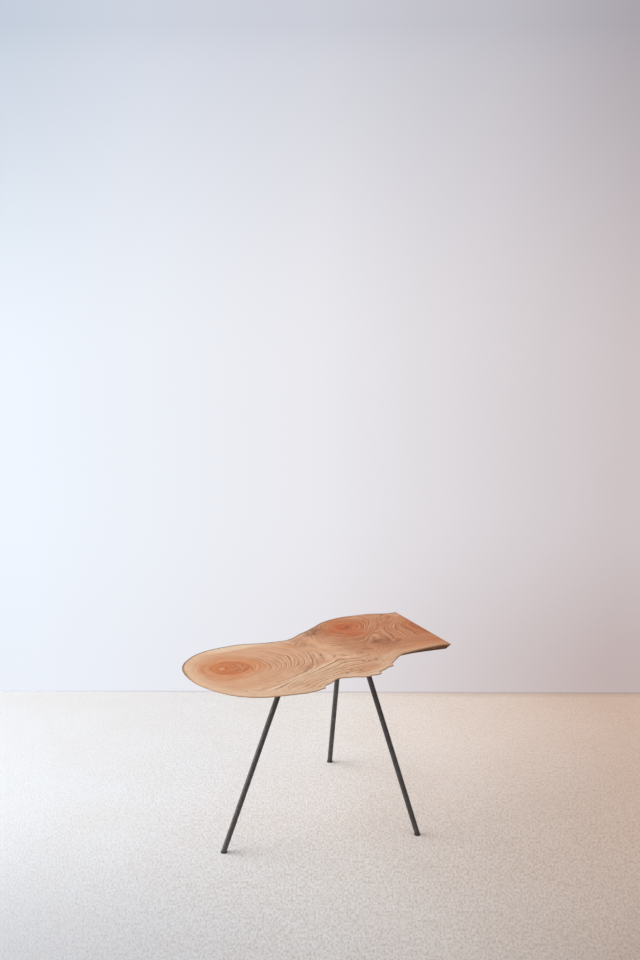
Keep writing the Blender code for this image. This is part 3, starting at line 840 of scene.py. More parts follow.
@dataclass
class Slab:
    """The slab, cut from its CAD node's own outline, with its growth stored in the mesh."""

    node: str = "slab_top"
    edge_step: float = 2.2 * MM
    face_step: float = 2.5 * MM
    under_step: float = 5.5 * MM
    arris_rows: int = 4
    rim_rows: int = 3
    hewn_rows: int = 15
    torn_from: float = -0.130
    torn_to: float = 0.148
    torn_below: float = -0.085
    trunk_lean: float = 0.35
    figure_drop: float = 3.8 * MM
    hole_sides: int = 36
    edge_seed: int = 11
    hewn_seed: int = 23
    flute_width: float = 31 * MM
    flute_depth: float = 1.6 * MM
    strand_width: float = 5.5 * MM
    strand_depth: float = 1.1 * MM

    def levels(self) -> list[float]:
        """The heights at which the CAD slab's outline is drawn, lowest first."""
        heights = np.array([v.co.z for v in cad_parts[self.node].data.vertices])
        return [float(h) for h in sorted(set(np.round(heights, 5)))]

    def loops(self, height: float) -> list[Ring]:
        """Closed loops of the CAD slab's edges at one height, the longest loop first."""
        bm = bmesh.new()
        bm.from_mesh(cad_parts[self.node].data)
        bmesh.ops.remove_doubles(bm, verts=bm.verts, dist=1e-6)
        near: dict = {v: [] for v in bm.verts if abs(v.co.z - height) < LEVEL_GAP}
        for edge in bm.edges:
            a, b = edge.verts
            flat = all(v in near for face in edge.link_faces for v in face.verts)
            if a in near and b in near and not flat:
                near[a].append(b)
                near[b].append(a)
        loops = []
        while near:
            here = next(iter(near))
            loop = []
            while here is not None:
                loop.append(tuple(here.co))
                onward = near.pop(here)
                here = next((v for v in onward if v in near), None)
            loops.append(np.array(loop))
        bm.free()
        return sorted(loops, key=lambda loop: -np.ptp(loop[:, 0]))

    def live_line(self, height: float) -> Ring:
        """The outline at one height, from the far sawn corner round to the near one."""
        loop = self.loops(height)[0]
        spans = np.linalg.norm(np.roll(loop, -1, axis=0) - loop, axis=1)
        sawn = int(spans.argmax())
        line = np.roll(loop, -(sawn + 1), axis=0)
        return line if line[0, 1] > line[-1, 1] else line[::-1]

    def refine(self, lines: Sequence[Ring]) -> list[Ring]:
        """Cut matching lines into short steps of as many points each."""
        guide = lines[1]
        spans = np.linalg.norm(guide[1:] - guide[:-1], axis=1)
        steps = np.maximum(1, np.ceil(spans / self.edge_step).astype(int))
        share = np.concatenate([
            i + np.arange(count) / count for i, count in enumerate(steps)])
        share = np.append(share, len(guide) - 1)
        index = np.arange(len(guide))
        return [
            np.stack([np.interp(share, index, line[:, k]) for k in range(3)], axis=1)
            for line in lines
        ]

    def inward(self, line: Ring) -> Ring:
        """Level normals that point into the slab from its live edge."""
        along = np.gradient(line, axis=0)
        normal = np.stack([-along[:, 1], along[:, 0], np.zeros(len(line))], axis=1)
        return normal / np.linalg.norm(normal, axis=1)[:, None]

    def torn(self, line: Ring) -> np.ndarray:
        """How torn the edge is at each point: 1 in the torn stretch and 0 elsewhere."""
        x, y = line[:, 0], line[:, 1]
        return (smooth_step(self.torn_from - 0.012, self.torn_from + 0.006, x)
                * (1 - smooth_step(self.torn_to - 0.006, self.torn_to + 0.012, x))
                * (1 - smooth_step(self.torn_below, self.torn_below + 0.02, y)))

    def roughen(self, line: Ring, draws: np.random.Generator) -> np.ndarray:
        """How far the edge is worn back at each point."""
        run = distances(line)
        wear = np.zeros(len(line))
        for wave, smooth_depth, torn_depth in (
                (24 * MM, 0.30 * MM, 0.0),
                (9 * MM, 0.16 * MM, 0.15 * MM),
                (4.6 * MM, 0.08 * MM, 0.35 * MM)):
            knots = np.arange(0, run[-1] + wave, wave)
            heights = draws.random(len(knots))
            depth = smooth_depth + (torn_depth - smooth_depth) * self.torn(line)
            wear += depth * np.interp(run, knots, heights)
        fade = smooth_step(0, 0.02, run) * (1 - smooth_step(run[-1] - 0.02, run[-1], run))
        return wear * fade

    def edge_rows(self) -> tuple[list[Ring], list[float]]:
        """Rows of points down the live edge, and how far under the rim each row is, 0 to 1."""
        low, _, rim_low, rim_high, top = self.levels()
        lines = [self.live_line(height) for height in (top, rim_high, rim_low, low)]
        face, high, bottom, under = self.refine(lines)
        for row in (face, high, bottom):
            for splinter in SPLINTERS:
                x, y, out_x, out_y, reach = (size * MM for size in splinter)
                share = np.clip(1 - np.hypot(row[:, 0] - x, row[:, 1] - y) / reach, 0, 1)
                row[:, 0] += out_x * share
                row[:, 1] += out_y * share
        draws = np.random.default_rng(self.edge_seed)
        wear = self.roughen(high, draws)[:, None] * self.inward(high)
        face, high, bottom = face + wear, high + wear, bottom + wear
        rows = []
        for k in range(self.arris_rows):
            turn = math.pi / 2 * k / self.arris_rows
            row = face + (high - face) * math.sin(turn)
            row[:, 2] = rim_high + (top - rim_high) * math.cos(turn)
            rows.append(row)
        rows += [high + (bottom - high) * k / self.rim_rows for k in range(self.rim_rows)]
        depth = [(k / self.hewn_rows) ** 1.25 for k in range(self.hewn_rows + 1)]
        rows += [bottom + (under - bottom) * share for share in depth]
        return rows, [0.0] * (self.arris_rows + self.rim_rows) + depth

    def hew(self, rows: list[Ring], depth: Sequence[float]) -> None:
        """Give the undercut the shallow facets and bark strands of a hewn live edge."""
        guide = rows[0]
        run = distances(guide)
        draws = np.random.default_rng(self.hewn_seed)
        inward = self.inward(guide)
        flute = np.arange(0, run[-1] + 0.05, self.flute_width)
        strand = np.arange(0, run[-1] + 0.05, self.strand_width)
        strand_height = draws.random((len(depth), len(strand)))
        flute_shift = draws.random(len(flute)) * 0.5
        for k, share in enumerate(depth):
            if share <= 0.0 or share >= 1.0:
                continue
            fade = math.sin(math.pi * share) ** 0.6
            turn = run / self.flute_width * math.pi + np.interp(run, flute, flute_shift)
            facet = np.abs(np.sin(turn))
            ridges = np.interp(run, strand, 0.6 * strand_height[k // 3] + 0.4 * strand_height[k])
            cut = fade * (self.flute_depth * facet + self.strand_depth * ridges)
            rows[k][:, :2] += (inward * cut[:, None])[:, :2]
            rows[k][:, 2] += 0.25 * cut

    def drill(self, shell: Shell, low: float, floor: float) -> list[list]:
        """Add the walls and floors of the insert holes, and return the holes' rims."""
        rims = []
        for hole in self.loops(low)[1:]:
            centre = hole[:, :2].mean(axis=0)
            radius = float(np.linalg.norm(hole[0, :2] - centre))
            rim, end = map(shell.row, lathe([(radius, low), (radius, floor)], self.hole_sides, centre))
            shell.band(end, rim, slot=UNDER)
            shell.bm.faces.new(end).material_index = UNDER
            rims.append(rim)
        return rims

    def store(self, piece: bpy.types.Object, outline: Ring, under: np.ndarray) -> None:
        """Store the growth and the tints at each point of the mesh.

        Args:
            piece: The slab.
            outline: The live edge, without the sawn end.
            under: How far under the rim each point is, 0 to 1.
        """
        mesh = piece.data
        places = np.empty(len(mesh.vertices) * 3)
        mesh.vertices.foreach_get("co", places)
        x, y, z = places.reshape(-1, 3).T
        drop = z.max() - z
        x = x - self.trunk_lean * drop
        y = y + self.trunk_lean * 0.5 * drop
        gap = edge_distance(outline[:, :2], np.stack([x, y], axis=1))
        for name, values in {**self.tints(x, y, gap), "under": under}.items():
            layer = mesh.attributes.new(name, "FLOAT", "POINT")
            layer.data.foreach_set("value", values.astype(np.float32))

    def tints(self, x: np.ndarray, y: np.ndarray, gap: np.ndarray) -> dict[str, np.ndarray]:
        """What the wood finish reads at each point.

        Args:
            x: The points' x.
            y: The points' y.
            gap: The points' distance from the live edge.

        Returns:
            Each stored number by its name.
        """
        near = {name: np.hypot(x - px, y - py) for name, (px, py) in PITHS.items()}
        waist = 1 - smooth_step(0.06, 0.12, np.hypot(x + 0.062, y - 0.012))
        x = x + 0.5 * self.figure_drop * waist
        y = y + self.figure_drop * (0.35 + 0.65 * smooth_step(0.08, 0.17, near["left"]) + 0.9 * waist)
        number = Growth().number(x, y)
        left = 1 - smooth_step(0.10, 0.14, near["left"])
        right = 1 - smooth_step(0.07, 0.10, near["right"])
        end = (1 - smooth_step(24.0, 26.4, number)) * smooth_step(0.25, 0.28, x)
        warmth = 0.42 + np.zeros_like(x)
        warmth += 0.55 * (1 - smooth_step(7.0, 8.2, number)) * left
        warmth += 0.27 * (1 - smooth_step(10.0, 15.0, number)) * smooth_step(6.5, 8.2, number) * left
        warmth += 0.24 * (1 - smooth_step(21.0, 23.4, number)) * right
        warmth += 0.24 * (1 - smooth_step(24.0, 28.0, number)) * right
        warmth += 0.24 * end
        warmth -= 0.26 * (1 - smooth_step(4 * MM, 42 * MM, gap)) * (1 - smooth_step(0.0, 0.2, x))
        warmth += cover(WARM_PATCHES, x, y) - cover(PALE_PATCHES, x, y)
        ruddy = smooth_step(0.02, 0.15, x + 0.35 * y)
        ruddy *= 1 - 0.75 * (1 - smooth_step(-0.100, -0.050, y)) * (1 - smooth_step(0.22, 0.32, x))
        figure = 0.34 + cover(FIGURED_PATCHES, x, y)
        # the rim line along the live edge: darker edge wood, wider and stronger along the back as
        # painted shade of the rounded edge
        width = 1.2 * MM + 3.6 * MM * smooth_step(0.02, 0.12, y) * (1 - 0.6 * smooth_step(0.1, 0.2, x))
        return {
            "growth": number,
            "warmth": np.clip(warmth, 0, 1),
            "ruddy": np.clip(ruddy, 0, 1),
            "stain": np.clip(cover(DARK_PATCHES, x, y), 0, 1),
            "figure": np.clip(figure, 0, 1.6),
            "finer": 0.7 * smooth_step(0.05, 0.10, x),
            "rim": (0.35 + 0.6 * smooth_step(-0.02, 0.10, y)) * (
                1 - smooth_step(0.5 * width, 1.3 * width, gap)),
        }

    def build(self) -> None:
        """Build the slab and let it stand for its node."""
        low, floor = self.levels()[:2]
        rows, depth = self.edge_rows()
        self.hew(rows, depth)
        shell = Shell("live_edge_slab")
        lines = [shell.row(row) for row in rows]
        for first, second in zip(lines[1:], lines):
            shell.band(first, second, slot=BARK, closed=False)
        under = {vert: share for line, share in zip(lines, depth) for vert in line}
        self.sawn_end(shell, lines)
        shell.flat_fill(lines[0], [], self.face_step, slot=FACE)
        rims = self.drill(shell, low, floor)
        shell.flat_fill(lines[-1], rims, self.under_step, slot=UNDER)
        shares = np.array([under.get(vert, 0.0) for vert in shell.bm.verts])
        top, underside, end = (
            SlabWood(cut).make() for cut in (Cut.TOP, Cut.UNDERSIDE, Cut.SAWN_END))
        piece = shell.finish([top, LiveEdge().make(), underside, end], crease=40.0)
        self.store(piece, rows[0], shares)
        seat(piece, self.node)

    def sawn_end(self, shell: Shell, lines: Sequence[list]) -> None:
        """Close the sawn end with one face per row."""
        for upper, lower in zip(lines, lines[1:]):
            corners = (upper[0], upper[-1], lower[-1], lower[0])
            shell.bm.faces.new(corners).material_index = END


def distances(line: Ring) -> np.ndarray:
    """How far along a line each of its points lies."""
    return np.concatenate([[0], np.cumsum(np.linalg.norm(np.diff(line, axis=0), axis=1))])


def inside(outline: np.ndarray, points: np.ndarray) -> np.ndarray:
    """Whether each point lies inside a closed outline."""
    found = np.zeros(len(points), dtype=bool)
    ends = np.roll(outline, -1, axis=0)
    for (ax, ay), (bx, by) in zip(outline, ends):
        if ay == by:
            continue
        spans = (ay > points[:, 1]) != (by > points[:, 1])
        cross = ax + (points[:, 1] - ay) * (bx - ax) / (by - ay)
        found ^= spans & (points[:, 0] < cross)
    return found


def edge_distance(line: np.ndarray, points: np.ndarray) -> np.ndarray:
    """Each point's distance from an open line."""
    nearest = np.full(len(points), np.inf)
    for start, end in zip(line, line[1:]):
        along = end - start
        share = np.clip((points - start) @ along / max(along @ along, 1e-12), 0, 1)
        gap = np.linalg.norm(points - start - share[:, None] * along, axis=1)
        nearest = np.minimum(nearest, gap)
    return nearest


def grid_inside(outline: np.ndarray, step: float) -> np.ndarray:
    """Points of a staggered grid inside an outline, clear of it by over half a step."""
    low, high = outline.min(axis=0), outline.max(axis=0)
    rise = step * math.sqrt(3) / 2
    rows = []
    for k, y in enumerate(np.arange(low[1], high[1], rise)):
        x = np.arange(low[0] + (k % 2) * step / 2, high[0], step)
        rows.append(np.stack([x, np.full(len(x), y)], axis=1))
    points = np.concatenate(rows)
    points = points[inside(outline, points)]
    closed = np.vstack([outline, outline[:1]])
    return points[edge_distance(closed, points) > 0.55 * step]


def ring_middle(node: str, top: bool) -> Vector:
    """The middle of a node's highest or lowest level outline."""
    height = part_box(node)[1 if top else 0][2]
    corners = [v.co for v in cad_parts[node].data.vertices]
    level = np.array([corner for corner in corners if abs(corner.z - height) < LEVEL_GAP])
    x, y, _ = (level.min(axis=0) + level.max(axis=0)) / 2
    return Vector((x, y, height))


class Round(NamedTuple):
    """Where an upright round CAD node stands: its middle, radius and lowest and highest level."""

    centre: Spot
    radius: float
    low: float
    high: float


def measured(node: str) -> Round:
    """Measure an upright round CAD node."""
    low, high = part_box(node)
    centre = ((low[0] + high[0]) / 2, (low[1] + high[1]) / 2)
    return Round(centre, (high[0] - low[0]) / 2, low[2], high[2])


@dataclass
class Leg:
    """One leg: rod, weld bead, mounting plate, pad and three sets of fasteners."""

    side: str
    finishes: dict[str, bpy.types.Material]
    rod_radius: float = 6.5 * MM
    rod_sides: int = 72
    rod_chamfer: float = 0.4 * MM
    weld_reach: float = 4.2 * MM
    weld_sides: int = 144
    weld_ripples: int = 26
    clearance: float = 0.3 * MM
    pad_round: float = 0.8 * MM
    pad_groove: float = 0.3 * MM
    plate_round: float = 0.8 * MM
    plate_sides: int = 120
    plate_step: float = 4 * MM
    bolt_radius: float = 3.0 * MM
    bolt_sides: int = 36
    thread_pitch: float = 1.0 * MM
    thread_depth: float = 0.45 * MM
    socket_flats: float = 4.0 * MM
    socket_depth: float = 2.1 * MM
    washer_round: float = 0.25 * MM
    insert_pitch: float = 2.2 * MM
    insert_depth: float = 0.8 * MM

    def __post_init__(self) -> None:
        """Read the rod's line from its CAD node."""
        node = "leg_rod_" + self.side
        self.foot = ring_middle(node, top=False)
        self.head = ring_middle(node, top=True)
        self.axis = (self.head - self.foot).normalized()
        self.lean = math.acos(self.axis.z)
        self.heading = math.atan2(self.foot.y - self.head.y, self.foot.x - self.head.x)

    def skinned(self, name: str, node: str, slot: str, rings: Sequence[Ring], number: int = 0,
                around: bool = False, crease: float = 35.0) -> None:
        """Skin rings into a piece that stands for a node.

        Args:
            name: The piece's name, before its side and number.
            node: The node's name, before its side and number.
            slot: The material slot, which also names the finish.
            rings: The rings, in order.
            number: The fastener's number, or 0.
            around: Whether the last ring is joined to the first one.
            crease: The sharpest bend that is shaded smooth, in degrees.
        """
        tag = f"_{self.side}_{number}" if number else f"_{self.side}"
        shell = Shell(name + tag)
        shell.skin(rings, around=around)
        seat(shell.finish([self.finishes[slot]], crease), node + tag)

    def leaning(self, radius: float, height: float, sides: int,
                ripple: Union[float, np.ndarray] = 0.0) -> Ring:
        """The rod's level section at a height, as an oval drawn out along its lean."""
        turns = np.arange(sides) * 2 * math.pi / sides
        reach = radius + ripple
        along = reach * np.cos(turns) / math.cos(self.lean)
        across = reach * np.sin(turns)
        middle = self.foot + self.axis * ((height - self.foot.z) / self.axis.z)
        c, s = math.cos(self.heading), math.sin(self.heading)
        return np.stack([
            middle.x + along * c - across * s,
            middle.y + along * s + across * c,
            np.full(sides, height),
        ], axis=1)

    def build_rod(self) -> None:
        """The round bar, with its sawn ends broken by a small chamfer."""
        low, high = self.foot.z, self.head.z
        heights = np.linspace(low + self.rod_chamfer, high - self.rod_chamfer, 24)
        small = self.rod_radius - self.rod_chamfer
        profile = [(small, low), *((self.rod_radius, z) for z in heights), (small, high)]
        rings = [self.leaning(radius, z, self.rod_sides) for radius, z in profile]
        self.skinned("rod", "leg_rod", "rod_steel", rings)

    def build_weld(self) -> None:
        """The fillet weld: overlapping ripples round the rod's end."""
        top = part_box("weld_bead_" + self.side)[1][2]
        phase = np.arange(self.weld_sides) / self.weld_sides * self.weld_ripples % 1.0
        scale = 1 - phase ** 2
        near = self.rod_radius + self.clearance
        run = self.weld_reach - self.clearance
        rings = [self.leaning(near, top - self.weld_reach, self.weld_sides)]
        steps = 8
        for k in range(1, steps):
            turn = math.pi / 2 * k / steps
            bulge = (1 - 0.42 * math.sin(2 * turn)) ** 0.2
            out = near + run * (1 - math.cos(turn)) * bulge
            drop = self.weld_reach * (1 - math.sin(turn)) * bulge
            dip = -0.30 * MM * (1 - scale) * math.sin(2 * turn)
            rings.append(self.leaning(out, top - drop, self.weld_sides, dip))
        rings.append(self.leaning(self.rod_radius + self.weld_reach, top, self.weld_sides))
        rings.append(self.leaning(near, top, self.weld_sides))
        self.skinned("weld", "weld_bead", "weld_steel", rings, around=True, crease=60.0)

    def build_pad(self) -> None:
        """The round rubber pad, with a soft moulded edge and a shallow ring under it."""
        centre, radius, low, high = measured("foot_pad_" + self.side)
        groove = low + self.pad_groove
        profile = [(radius * 0.40, low), (radius * 0.46, groove), (radius * 0.60, groove),
                   (radius * 0.66, low)]
        soft = self.pad_round
        profile += [(radius - soft * (1 - s), low + soft * (1 - c)) for s, c in quarter(6)]
        profile += [(radius - soft * (1 - c), high - soft * (1 - s)) for s, c in quarter(6)]
        self.skinned("pad", "foot_pad", "pad_rubber", lathe(profile, self.rod_sides, centre))

    def bolt_places(self) -> list[Spot]:
        """The middles of this leg's three bolts."""
        return [measured(f"washer_{self.side}_{number}").centre for number in (1, 2, 3)]

    def build_plate(self) -> None:
        """The round mounting plate, with rounded edges and three clearance holes."""
        centre, radius, low, high = measured("mount_plate_" + self.side)
        shell = Shell("plate_" + self.side)
        soft = self.plate_round
        profile = [(radius - soft * (1 - s), low + soft * (1 - c)) for s, c in quarter(4)]
        profile.append((radius, high))
        rows = [shell.row(ring) for ring in lathe(profile, self.plate_sides, centre)]
        for first, second in zip(rows, rows[1:]):
            shell.band(first, second)
        bottoms = []
        tops = []
        hole = self.bolt_radius + self.clearance
        for place in self.bolt_places():
            bottoms.append(shell.row(turned(hole, low, self.bolt_sides, place)))
            tops.append(shell.row(turned(hole, high, self.bolt_sides, place)))
            shell.band(tops[-1], bottoms[-1])
        shell.flat_fill(rows[0], bottoms, self.plate_step)
        shell.flat_fill(rows[-1], tops, self.plate_step)
        piece = shell.finish([self.finishes["plate_steel"]])
        seat(piece, "mount_plate_" + self.side)

    def hexagon(self, across: float, height: float, centre: Spot) -> Ring:
        """A level hexagon with as many points as the circles round it."""
        turns = np.arange(self.bolt_sides) * 2 * math.pi / self.bolt_sides
        off_flat = (turns + math.pi / 6) % (math.pi / 3) - math.pi / 6
        reach = across / 2 / np.cos(off_flat)
        return np.stack([
            centre[0] + reach * np.cos(turns), centre[1] + reach * np.sin(turns),
            np.full(self.bolt_sides, height)], axis=1)

    def threaded(self, radius: float, low: float, high: float, centre: Spot, depth: float,
                 pitch: float) -> list[Ring]:
        """Rings of a screw thread that runs out at both ends."""
        turns = np.arange(self.bolt_sides) / self.bolt_sides
        rings = []
        for height in np.arange(low, high, pitch / 6):
            wave = np.abs(((height / pitch - turns) % 1.0) * 2 - 1)
            fade = min(1.0, (height - low) / pitch, (high - height) / pitch)
            ring = turned(1.0, height, self.bolt_sides)
            reach = (radius - depth * fade * wave)[:, None]
            ring[:, :2] = ring[:, :2] * reach + np.array(centre)
            rings.append(ring)
        return rings

    def build_bolt(self, number: int, centre: Spot) -> None:
        """A button-head bolt with a hexagon socket and a cut thread."""
        _, head, face, tip = measured(f"bolt_{self.side}_{number}")
        under = measured(f"washer_{self.side}_{number}").low - self.clearance
        rim = 0.8 * MM
        crown = self.socket_flats / math.sqrt(3) + rim
        dome = under - face - rim
        rings = [self.hexagon(across, height, centre) for across, height in (
            (self.socket_flats * 0.96, face + self.socket_depth),
            (self.socket_flats, face + self.socket_depth - 0.1 * MM),
            (self.socket_flats, face + 0.25 * MM),
            (self.socket_flats + 0.4 * MM, face))]
        profile = [(crown + (head - crown) * s, face + dome * (1 - c)) for s, c in quarter(8)]
        profile += [(head, under - 0.15 * MM), (head - 0.15 * MM, under), (self.bolt_radius, under)]
        rings += lathe(profile, self.bolt_sides, centre)
        rings += self.threaded(self.bolt_radius, under + 5 * MM, tip - 0.8 * MM, centre,
                               self.thread_depth, self.thread_pitch)
        rings.append(turned(self.bolt_radius - 0.8 * MM, tip, self.bolt_sides, centre))
        self.skinned("button_bolt", "bolt", "bolt_steel", rings, number)

    def build_washer(self, number: int, centre: Spot) -> None:
        """A plain washer: one edge rounded by the punch and one left square."""
        _, outer, low, high = measured(f"washer_{self.side}_{number}")
        inner = self.bolt_radius + self.clearance
        soft = self.washer_round
        profile = [
            (inner + soft, low), (outer - soft, low), (outer - soft * 0.3, low + soft * 0.3),
            (outer, low + soft), (outer, high), (inner, high), (inner, low + soft)]
        rings = lathe(profile, self.bolt_sides * 2, centre)
        self.skinned("plain_washer", "washer", "washer_zinc", rings, number, around=True)

    def build_insert(self, number: int, centre: Spot) -> None:
        """A brass sleeve with a coarse thread outside that grips the wood."""
        _, outer, low, high = measured(f"insert_{self.side}_{number}")
        inner = self.bolt_radius + self.clearance
        rings = lathe([(inner, low), (outer, low)], self.bolt_sides, centre)
        rings += self.threaded(outer, low + 1.0 * MM, high - 0.5 * MM, centre,
                               self.insert_depth, self.insert_pitch)
        rings += lathe([(outer - 0.5 * MM, high), (inner, high)], self.bolt_sides, centre)
        self.skinned("brass_insert", "insert", "insert_brass", rings, number, around=True)

    def build(self) -> None:
        """Build every piece of the leg."""
        self.build_rod()
        self.build_weld()
        self.build_pad()
        self.build_plate()
        for number, centre in enumerate(self.bolt_places(), start=1):
            self.build_bolt(number, centre)
            self.build_washer(number, centre)
            self.build_insert(number, centre)


def leg_finishes() -> dict[str, bpy.types.Material]:
    """Make the finishes of the legs' pieces, by their slots."""
    return {
        "rod_steel": BlackenedSteel("blackened_bar", (1.0, 1.0, 0.04)).make(),
        "plate_steel": BlackenedSteel("blackened_plate", (1.0, 0.06, 1.0)).make(),
        "weld_steel": WeldSteel().make(),
        "bolt_steel": TurnedMetal(
            "black_oxide_steel", (58, 57, 60), (38, 37, 39), (0.32, 0.46)).make(),
        "washer_zinc": TurnedMetal(
            "zinc_plate", (188, 190, 194), (150, 150, 152), (0.28, 0.44)).make(),
        "insert_brass": TurnedMetal(
            "turned_brass", (202, 168, 96), (150, 112, 58), (0.26, 0.42)).make(),
        "pad_rubber": PadRubber().make(),
    }


@dataclass
class Studio:
    """The pale floor and wall with painted light and shade in their colours, the soft light, and the
    photograph's camera.
    """

    eye: tuple[float, float, float] = (-1.9080, -2.4340, 1.65)
    tilt: float = 76.004
    heading: float = -37.982
    lens: float = 50.0
    sensor: float = 36.0
    wall_ahead: float = 3.876
    wall_turn: float = 0.009
    half_width: float = 4.0
    wall_height: float = 4.0
    floor_reach: float = 12.0
    half_room: float = 0.95
    window_power: float = 128.0
    fill_power: float = 8.0
    sky_left: float = 0.88
    sky_right: float = 0.33

    def forward(self) -> Vector:
        """The level way the camera looks."""
        turn = math.radians(self.heading)
        return Vector((-math.sin(turn), math.cos(turn), 0))

    def across(self) -> Vector:
        """The level way to the camera's right."""
        ahead = self.forward()
        return Vector((ahead.y, -ahead.x, 0))

    def camera(self) -> None:
        """Place the camera where the photograph was taken from."""
        data = bpy.data.cameras.new("photo_camera")
        data.lens = self.lens
        data.sensor_width = self.sensor
        eye = bpy.data.objects.new("photo_camera", data)
        eye.location = self.eye
        eye.rotation_euler = (math.radians(self.tilt), 0, math.radians(self.heading))
        bpy.context.collection.objects.link(eye)
        bpy.context.scene.camera = eye

    def side_share(self, g: Graph) -> Socket:
        """How far right a place lies, from 0 at the window's side to 1 at the warm side."""
        return g.maths("MULTIPLY_ADD", g.along(g.place(), self.across()), 0.5 / self.half_room, 0.5,
                       clamp=True)

    def floor_finish(self) -> bpy.types.Material:
        """A pale short pile, with painted light and shade in its colour: cool and bright by the window,
        warmer and darker away from it.
        """
        g = Graph("pale_floor")
        place = g.place()
        side = self.side_share(g)
        across = g.along(place, self.across())
        ahead = g.along(place, self.forward())
        upright = g.joined(across, g.times(ahead, 0.42))
        pile = g.noise(upright, 210, 4, 0.8)
        tufts = g.noise(upright, 60, 3, 0.6)
        drift = g.noise(place, 5, 3, 0.5)
        # painted light: the floor runs from cool and bright by the window to warmer and darker away from
        # it
        colour = g.ramp(side, (
            (0.00, (222, 225, 229)),
            (0.30, (234, 235, 238)),
            (0.50, (244, 242, 241)),
            (0.66, (246, 236, 230)),
            (0.80, (240, 223, 213)),
            (0.95, (230, 206, 192)),
        ))
        # painted shade that tones down the window lamp's pool of light on the floor beside it
        under_window_shade = g.times(g.span(across, -2.4, -0.95, 1.0, 0.0),
                               g.span(across, -3.6, -3.4))
        colour = g.dim(colour, (150, 152, 156), under_window_shade)
        # painted shade on the floor near the camera, a little darker on the right
        near = g.mix(g.span(side, 0.4, 0.9), (220, 220, 222), (208, 210, 212))
        colour = g.dim(colour, near, g.span(ahead, -0.9, 0.1, 1.0, 0.0))
        # painted shadow along the foot of the wall
        foot = g.times(g.span(ahead, 0.735, 0.78), g.span(side, 0.4, 0.8))
        colour = g.dim(colour, (238, 233, 229), foot)
        # painted shade, slightly darker towards the wall
        colour = g.dim(colour, (252, 249, 247), g.span(ahead, 0.1, 0.8))
        shown = g.times(g.span(side, 0.0, 0.5, 0.35, 1.0),
                        g.span(ahead, -0.3, 0.6, 0.8, 0.45))
        dents = g.times(g.span(pile, 0.36, 0.58, 1.0, 0.0), shown)
        colour = g.dim(colour, (214, 209, 204), dents)
        hollows = g.times(g.span(tufts, 0.36, 0.60, 0.3, 0.0), shown)
        colour = g.dim(colour, (234, 228, 221), hollows)
        colour = g.dim(colour, (250, 245, 240), g.span(drift, 0.35, 0.7, 0.0, 0.3))
        return g.surface(colour, 0.95, g.bump(pile, 0.9 * MM), Specular_IOR_Level=0.1)

    def wall_finish(self) -> bpy.types.Material:
        """A pale wall that the camera sees as it is written, from the front only, glowing with painted
        light and shade.
        """
        g = Graph("pale_wall")
        side = self.side_share(g)
        height = g.along(g.place(), (0.0, 0.0, 1.0))
        # painted light: bright and cool on the window's side, darker and warmer on the far side
        shade = g.ramp(side, (
            (0.03, (239, 246, 255)),
            (0.50, (234, 233, 238)),
            (0.97, (206, 196, 198)),
        ))
        # painted shade, darker towards the top of the wall
        top_shade = g.maths("ADD", g.span(height, 1.03, 2.4, 0.0, 1.1), g.span(height, 1.85, 2.2, 0.0, 0.5))
        shade = g.dim(shade, (222, 225, 231), top_shade)
        # painted shade in the wall's upper side corners
        off_middle = g.maths("ABSOLUTE", g.maths("SUBTRACT", side, 0.5))
        corner = g.times(g.span(off_middle, 0.24, 0.52), g.span(height, 0.9, 2.1))
        shade = g.dim(shade, (241, 242, 243), corner)
        # painted shade, darker and warmer low on the wall towards the right
        foot = g.mix(g.span(side, 0.30, 1.05), (252, 250, 250), (237, 227, 222))
        shade = g.dim(shade, foot, g.span(height, 0.0, 0.62, 0.9, 0.0))
        # painted shadow in a thin line where the wall meets the floor
        joint_shadow = g.mix(g.span(side, 0.0, 0.3), (251, 249, 249), (232, 228, 227))
        shade = g.dim(shade, joint_shadow, g.span(height, 0.003, 0.007, 0.9, 0.0))
        # the wall glows with its painted light and shade, for camera, glossy and transmission rays only
        glow = g.node("Emission")
        g.feed(glow.inputs["Color"], shade)
        rays = g.node("LightPath")
        seen = g.maths("MAXIMUM", rays.outputs["Is Camera Ray"], rays.outputs["Is Glossy Ray"])
        seen = g.maths("MAXIMUM", seen, rays.outputs["Is Transmission Ray"])
        back = g.node("NewGeometry").outputs["Backfacing"]
        shown = g.times(seen, g.maths("SUBTRACT", 1.0, back))
        return g.blend(shown, g.node("BsdfTransparent").outputs[0], glow.outputs[0])

    def sheet(self, name: str, corners: Sequence[Vector], finish: bpy.types.Material) -> None:
        """Add one flat sheet of the studio."""
        mesh = bpy.data.meshes.new(name)
        mesh.from_pydata([tuple(c) for c in corners], [], [tuple(range(len(corners)))])
        mesh.materials.append(finish)
        made = bpy.data.objects.new(name, mesh)
        bpy.context.collection.objects.link(made)

    def backdrop(self) -> None:
        """Lay the floor, and stand the wall where the photograph's floor ends."""
        ahead = self.forward()
        across = self.across()
        side, far = across * self.floor_reach, ahead * self.floor_reach
        self.sheet("floor", [-side - far, side - far, side + far, far - side], self.floor_finish())
        foot = Vector((self.eye[0], self.eye[1], 0)) + ahead * self.wall_ahead
        rise = Vector((0, 0, self.wall_height))
        wide = (across - ahead * self.wall_turn) * self.half_width
        self.sheet("wall", [foot - wide, foot + wide, foot + wide + rise, foot - wide + rise],
                   self.wall_finish())

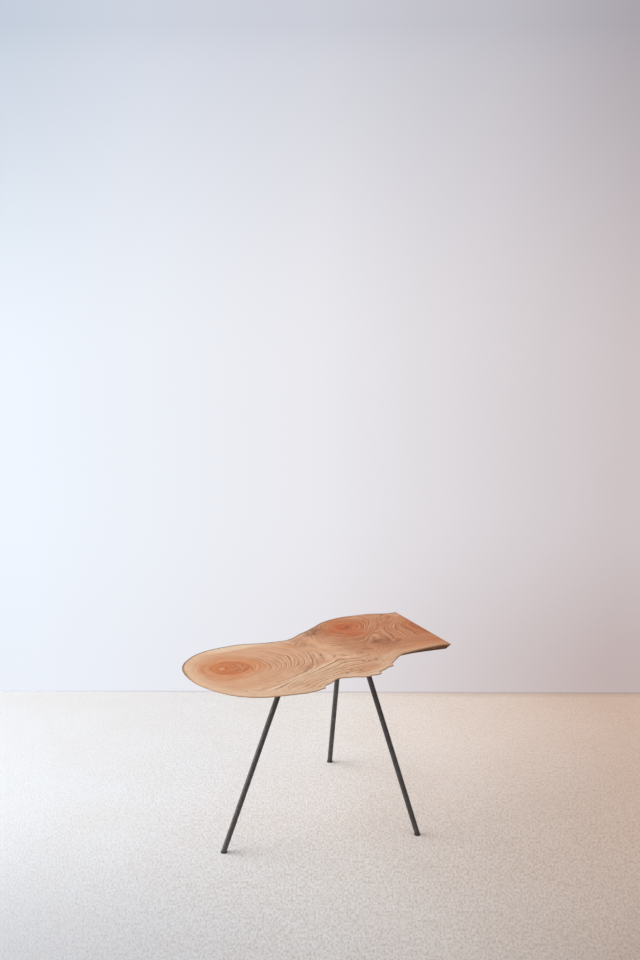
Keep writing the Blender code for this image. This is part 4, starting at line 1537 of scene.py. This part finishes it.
    def lamp(self, name: str, place: Vector, size: float, power: float, colour: Sequence[float]) -> None:
        """Add a square soft lamp that faces the table."""
        data = bpy.data.lights.new(name, "AREA")
        data.shape = "SQUARE"
        data.size = size
        data.energy = power
        data.color = colour
        lamp = bpy.data.objects.new(name, data)
        lamp.location = place
        aim = Vector((0, 0, 0.3)) - place
        lamp.rotation_euler = aim.to_track_quat("-Z", "Y").to_euler()
        bpy.context.collection.objects.link(lamp)

    def light(self) -> None:
        """A broad cool window from the left, a weak warm fill, and a sky brighter on the left."""
        ahead = self.forward()
        across = self.across()
        window = across * -3.0 + ahead * 0.2 + Vector((0, 0, 1.5))
        self.lamp("window", window, 3.0, self.window_power, (0.94, 0.97, 1.0))
        fill = across * 2.2 - ahead * 1.2 + Vector((0, 0, 2.2))
        self.lamp("fill", fill, 1.8, self.fill_power, (1.0, 0.93, 0.86))
        bpy.context.scene.world = self.sky()

    def sky(self) -> bpy.types.World:
        """An even sky that is brighter towards the window, and pale where the camera sees it."""
        g = Graph("studio_sky", for_world=True)
        way = g.node("TexCoord").outputs["Generated"]
        sky = g.node("Background")
        sky.inputs["Color"].default_value = (1.0, 0.985, 0.97, 1.0)
        g.feed(sky.inputs["Strength"], g.span(
            g.along(way, self.across()), -0.9, 0.9, self.sky_left, self.sky_right))
        seen = g.node("Background")
        g.feed(seen.inputs["Color"], (230, 230, 235))
        return g.blend(g.node("LightPath").outputs["Is Camera Ray"], sky.outputs[0], seen.outputs[0])

    def build(self) -> None:
        """Set up the whole studio."""
        self.camera()
        self.backdrop()
        self.light()
        bpy.context.scene.view_settings.view_transform = "Standard"


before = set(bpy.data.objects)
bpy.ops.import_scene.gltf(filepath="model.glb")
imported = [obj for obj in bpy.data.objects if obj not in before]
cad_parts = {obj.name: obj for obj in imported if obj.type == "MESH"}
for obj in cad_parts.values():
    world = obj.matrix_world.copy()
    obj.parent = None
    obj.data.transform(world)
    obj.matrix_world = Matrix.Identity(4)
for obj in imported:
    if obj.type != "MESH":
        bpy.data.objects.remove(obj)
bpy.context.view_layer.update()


def main() -> None:
    """Build the table's pieces and the studio."""
    logging.basicConfig(level=logging.INFO, format="%(name)s: %(message)s")
    Studio().build()
    Slab().build()
    finishes = leg_finishes()
    for side in ("left", "right", "back"):
        Leg(side, finishes).build()


if __name__ == "__main__":
    main()
